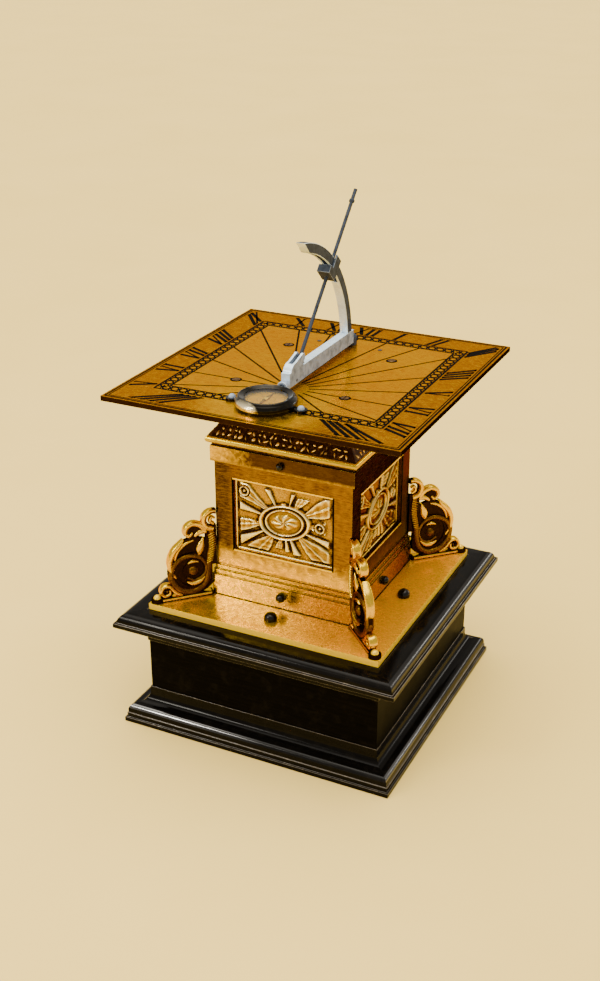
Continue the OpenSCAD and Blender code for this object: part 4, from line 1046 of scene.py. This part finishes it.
# Half the gap that the compass takes, in the chain's two lines and in its links
LINE_GAP, LINK_GAP = 17.5, 18.5
LINE_LOW, LINE_HIGH, LINE_PROUD = DIAL_TOP - 0.3 * MM, DIAL_TOP + 0.02 * MM, DIAL_TOP + 0.024 * MM
NUMERALS = {4: "IIII", 5: "V", 6: "VI", 7: "VII", 8: "VIII", 9: "IX", 10: "X", 11: "XI", 12: "XII",
            13: "I", 14: "II", 15: "III", 16: "IIII", 17: "V", 18: "VI", 19: "VII", 20: "VIII"}
LETTER_WIDTH = {"I": 3.2, "V": 5.8, "X": 5.8}
# Which way a numeral reads in the band's east, west, north and south side
BAND_WAYS = np.array([(0, -1), (0, 1), (1, 0), (-1, 0)], float)


def hour_direction(hour):
    """An hour line's unit vector: tan(bearing) = sin(latitude) tan(hour angle), from north to east."""
    turn = np.radians(15.0 * (np.asarray(hour, float) - 12))
    bearing = np.arctan2(math.sin(STYLE_ANGLE) * np.sin(turn), np.cos(turn))
    return np.stack([np.sin(bearing), np.cos(bearing)], -1)


def leaving(direction, rectangle):
    """Distance from the hour centre at which a ray crosses a rectangle."""
    x0, x1, y0, y1 = rectangle
    dx, dy = direction[..., 0], direction[..., 1]
    with np.errstate(divide="ignore"):
        to_x = np.where(dx > 0, x1, x0) / np.where(np.abs(dx) < 1e-9, 1e-9, dx)
        to_y = (np.where(dy > 0, y1, y0) - HOUR_CENTRE[1]) / np.where(np.abs(dy) < 1e-9, 1e-9, dy)
    return np.minimum(np.abs(to_x), np.abs(to_y))


def numeral_strokes(text):
    """A numeral's strokes, (s0, h0, s1, h1, width): s is mm along the band, h from 0 inside to 1 outside."""
    broad, thin, serif = 2.0, 1.1, 0.85
    s = -sum(LETTER_WIDTH[letter] for letter in text) / 2
    strokes = []
    for letter in text:
        w = LETTER_WIDTH[letter]
        if letter == "I":
            strokes += [(s + w / 2, 0.0, s + w / 2, 1.0, broad)]
            strokes += [(s + 0.35, h, s + w - 0.35, h, serif) for h in (0.02, 0.98)]
        elif letter == "V":
            strokes += [(s + 0.9, 1.0, s + w / 2, 0.0, broad), (s + w - 0.9, 1.0, s + w / 2, 0.0, thin)]
            strokes += [(s + a, 0.98, s + a + 1.8, 0.98, serif) for a in (0.1, w - 1.9)]
        else:
            strokes += [(s + 0.9, 1.0, s + w - 0.9, 0.0, broad), (s + w - 0.9, 1.0, s + 0.9, 0.0, thin)]
            strokes += [(s + a, h, s + a + 1.8, h, serif) for a in (0.1, w - 1.9) for h in (0.02, 0.98)]
        s += w
    return np.array(strokes)


def numerals():
    """Each hour's numeral in the middle 0.8 of the band, its strokes pointing at the hour centre."""
    x0, x1, y0, y1 = CHAIN_OUT
    shapes = []
    for hour, text in NUMERALS.items():
        out = hour_direction(hour)
        foot = HOUR_CENTRE + out * leaving(out, CHAIN_OUT)
        x, y = foot
        along = BAND_WAYS[np.argmax([x - x1, x0 - x, y - y1, y0 - y])]
        strokes = numeral_strokes(text)
        ends = []
        for s, h in (strokes[:, 0:2].T, strokes[:, 2:4].T):
            ray = foot + s[:, None] * along - HOUR_CENTRE
            near = np.linalg.norm(ray, axis=1)
            ray = ray / near[:, None]
            room = leaving(ray, BORDER) - near
            ends.append(HOUR_CENTRE + ray * (near + room * (0.1 + 0.8 * h))[:, None])
        shapes.append(bars(ends[0] * MM, ends[1] * MM, strokes[:, 4] * MM, LINE_LOW, LINE_HIGH))
    return shapes


def hour_lines():
    """The hour lines from near the style's foot to the chain; noon's starts nearer."""
    out = hour_direction(np.arange(4, 20.5))
    far = leaving(out, CHAIN_IN)[:, None]
    near = np.where(np.abs(out[:, :1]) < 0.05, 8.0, 9.0)
    starts, ends = (HOUR_CENTRE + out * near) * MM, (HOUR_CENTRE + out * far) * MM
    return bars(starts, ends, 1.0 * MM, LINE_LOW, LINE_HIGH)


def rectangle_lines(rectangle, width, sides=4):
    """Lines along a rectangle's west, north, east and south side, or along the first of these."""
    x0, x1, y0, y1 = rectangle
    corners = np.array([(x0, y0), (x0, y1), (x1, y1), (x1, y0)]) * MM
    return bars(corners[:sides], np.roll(corners, -1, 0)[:sides], width * MM, LINE_LOW, LINE_PROUD)


def south_lines(rectangle, width):
    """A rectangle's south side in two lines, on both sides of the compass."""
    x0, x1, y, _ = rectangle
    starts, ends = np.array([(x0, y), (x1, y)]), np.array([(-LINE_GAP, y), (LINE_GAP, y)])
    return bars(starts * MM, ends * MM, width * MM, LINE_LOW, LINE_HIGH)


def chain():
    """The chain round the hour lines, broken by the compass: rings side by side, with a bar between two."""
    x0, x1, y0, y1 = ((a + b) / 2 for a, b in zip(CHAIN_IN, CHAIN_OUT))
    turns = np.array([(-LINK_GAP, y0), (x0, y0), (x0, y1), (x1, y1), (x1, y0), (LINK_GAP, y0)])
    post_half, post_width = 2.7, 0.7 * MM
    shapes = []
    for start, end, count in zip(turns, turns[1:], (8, 24, 25, 24, 8)):
        way = end - start
        length = np.linalg.norm(way)
        post = np.array([-way[1], way[0]]) / length * post_half
        t = (np.arange(count + 1) / count)[:, None]
        posts, links = start + way * t, start + way * (t[1:] - 0.5 / count)
        pitch = length / count * MM
        shapes.append(bars((posts - post) * MM, (posts + post) * MM, post_width, LINE_LOW, LINE_HIGH))
        shapes.append(rings_flat(links * MM, 0.5 * pitch, 0.3 * pitch, LINE_LOW, LINE_PROUD))
    return joined(shapes)


def make_dial():
    """The plate, and one piece of fine raised lines for its engraving; its screws and rivets."""
    # The plate's sides are near-black and its rounded edges dark: painted shade.
    dressed("dial_plate", GILT_WEB, bevel=0.25 * MM, edge=GILT_SHADED,
            faces=((UP, 0.5, GILT_DIAL), ((0, 0, -1), 0.5, GILT_CORNICE)))
    shapes = numerals() + [hour_lines(), chain()]
    for lines in (CHAIN_IN, CHAIN_OUT):
        shapes += [rectangle_lines(lines, 1.1, sides=3), south_lines(lines, 1.1)]
    shapes += [rectangle_lines(BORDER, 0.6), rectangle_lines(OUTER_BORDER, 1.0)]
    screw_place = 28.5 * MM
    screws = [(x, y) for x in (-screw_place, screw_place) for y in (-screw_place, screw_place)]
    shapes.append(rings_flat(screws, 2.9 * MM, 2.02 * MM, LINE_LOW, LINE_HIGH, 32))
    piece("dial_engraving", joined(shapes), WAX_AND_PAINTED_SHADOW, smooth=30)
    dressed("dial_screws", DIAL_SCREW, smooth=35)
    dressed("dial_rivets", BLUED, smooth=35)


# Compass

def bezel_ring(middle, foot, outer):
    """The ring that holds the glass: a rounded outside, a raised lip and a slope down to the glass."""
    inner, sight = 13.85, 10.1
    outside = [(inner, 0), (outer - 0.3, 0), (outer, 0.7), (outer, 1.4), (outer - 0.25, 2.3),
               (outer - 0.8, 3.1), (outer - 1.5, 3.7)]
    lip = [(outer - 1.6, 4.0), (outer - 1.9, 4.25), (outer - 2.3, 4.3), (outer - 2.5, 4.1)]
    slope = [(sight + 0.9, 3.85), (sight, 3.3), (inner, 3.2)]
    points, faces = lathe(np.array(outside + lip + slope) * MM, 128)
    return points + [*middle, foot], faces


def card_rose(middle, top):
    """The card's lines: sixteen rays of three lengths, three circles, and ticks between the outer two."""
    low, high = top - 0.1 * MM, top + 0.015 * MM
    ray = np.arange(16)
    near = np.where(ray % 4 == 0, 2.0, np.where(ray % 2 == 0, 4.2, 7.0))[:, None] * MM
    rays = spokes(middle, 22.5, near, 8.4 * MM, 0.1 * MM, low, high)
    outer, inner = np.array([8.6, 10.4, 4.2]) * MM, np.array([8.48, 10.3, 4.1]) * MM
    circles = rings_flat([middle] * 3, outer, inner, low, high, 72)
    return joined([rays, circles, spokes(middle, 7.5, 8.5 * MM, 10.3 * MM, 0.12 * MM, low, high)])


def make_compass():
    """Bowl, card, pivot, needle, glass and ring, with the two screws of the ears."""
    card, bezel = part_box("compass_card"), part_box("compass_bezel")
    middle = np.array((card[0] + card[1]) / 2)[:2]
    dressed("compass_bowl", BOWL, smooth=35)
    dressed("compass_card", GILT_CARD, smooth=35)
    piece("compass_bezel_piece", bezel_ring(middle, bezel[0].z, bezel[1].x / MM), BEZEL,
          replaces=("compass_bezel",), smooth=50)
    dressed("compass_glass", GLASS, smooth=35)
    dressed("compass_screws", STEEL, smooth=50)
    dressed("compass_pivot", STEEL_DARK, smooth=35)
    dressed("compass_needle", GILT, body="needle", bevel=0.05 * MM)
    dressed("needle_hub", GILT_EDGE, body="needle", smooth=35)
    piece("compass_rose", card_rose(middle, card[1].z), WAX_AND_PAINTED_SHADOW, smooth=30)


# Gnomon

def make_gnomon():
    """Bar, arc, style and clip, the two lugs, and the pins they turn on."""
    # The bar's upper faces and the arc's inner face take the palest steel, a painted highlight; the arc's
    # sides are darker than the bar's, a painted shade.
    dressed("gnomon_bar", STEEL, "gnomon", bevel=0.25 * MM, edge=STEEL_HIGHLIGHT,
            faces=(((0, -0.3, 1), 0.25, STEEL_HIGHLIGHT),))
    dressed("latitude_arc", STEEL_DARK, "gnomon", bevel=0.35 * MM, edge=STEEL_HIGHLIGHT,
            faces=(((0, -1, -0.6), 0.2, STEEL_HIGHLIGHT),))
    dressed("style_pin", STEEL_DARK, "gnomon", smooth=35)
    dressed("style_rod", STEEL_DARK, "style", smooth=40)
    dressed("style_clip", STEEL_DARK, "style", bevel=0.15 * MM, edge=STEEL)
    # The south lug in bright steel and the north lug in dark steel: painted light and shade.
    dressed("south_lug", STEEL, smooth=35, bevel=0.2 * MM, edge=STEEL_HIGHLIGHT)
    dressed("north_lug", STEEL_DARK, smooth=35, bevel=0.2 * MM, edge=STEEL_DARK)
    dressed("hinge_pins", STEEL_DARK, smooth=35)


# Floor, lights and camera

def make_stage():
    """A wide floor of pale paper and a pale surround."""
    reach = 9.0
    floor = bpy.data.meshes.new("floor")
    corners = [(-reach, -reach, 0), (reach, -reach, 0), (reach, reach, 0), (-reach, reach, 0)]
    floor.from_pydata(corners, [], [[0, 1, 2, 3]])
    material, tree, shader = surface("floor_paper", Specular_IOR_Level=0.2)
    patches = clouds(tree, 6.0, 0.3, 0.7)
    tone = blended(tree, patches, (0.84, 0.6, 0.16), (0.87, 0.63, 0.18))
    feed(tree, shader, Base_Color=tone, Roughness=remapped(tree, patches, 0.0, 1.0, 0.8, 0.9))
    floor.materials.append(material)
    in_scene("floor", floor)
    world = bpy.data.worlds.new("surround")
    bpy.context.scene.world = world
    world.use_nodes = True
    surround = world.node_tree.nodes["Background"].inputs
    surround["Color"].default_value = (1.0, 0.92, 0.8, 1.0)
    surround["Strength"].default_value = 0.8


def softbox(name, place, target, size, power, colour, spread=180):
    """A rectangular area light at a place, facing a target. A grid on it narrows its spread, in degrees."""
    light = bpy.data.lights.new(name, "AREA")
    light.shape = "RECTANGLE"
    light.size, light.size_y = size
    light.energy = power
    light.spread = math.radians(spread)
    light.color = colour
    obj = in_scene(name, light, place)
    obj.visible_camera = False
    obj.rotation_euler = (Vector(target) - Vector(place)).to_track_quat("-Z", "Y").to_euler()


def make_lights():
    """A wide ceiling, a key from the left, a small glow on the front and a rim light from behind."""
    softbox("ceiling", (0, 1.5, 3.5), (0, 1.5, 0), (14, 14), 1150, (1.0, 0.94, 0.82), spread=80)
    softbox("key", (-0.47, -0.72, 0.66), (0, 0, 0.14), (0.2, 0.08), 2.2, (1.0, 0.94, 0.84))
    softbox("glow", (-0.2, -0.305, 0.225), (-0.04, -0.05, 0.05), (0.05, 0.05), 0.25, (1.0, 0.95, 0.82))
    softbox("rim", (0.58, 0.82, 0.33), (0.07, 0, 0.06), (0.25, 0.06), 0.7, (1.0, 0.96, 0.88))


def make_camera():
    """The photograph's viewpoint: 26 degrees east of south, looking down 25 degrees."""
    camera = bpy.data.cameras.new("camera")
    camera.sensor_fit = "VERTICAL"
    camera.sensor_height = 36.0
    focal_pixels, picture_height = 1313.0, 981.0
    camera.lens = focal_pixels * camera.sensor_height / picture_height
    obj = in_scene("camera", camera, (0.25673, -0.54775, 0.40052))
    obj.rotation_euler = (math.radians(90 - 25.14), 0, math.radians(25.82))
    bpy.context.scene.camera = obj


make_camera()
make_stage()
make_lights()
make_plinth()
make_box()
make_roof_leaves()
make_brackets()
make_dial()
make_compass()
make_gnomon()
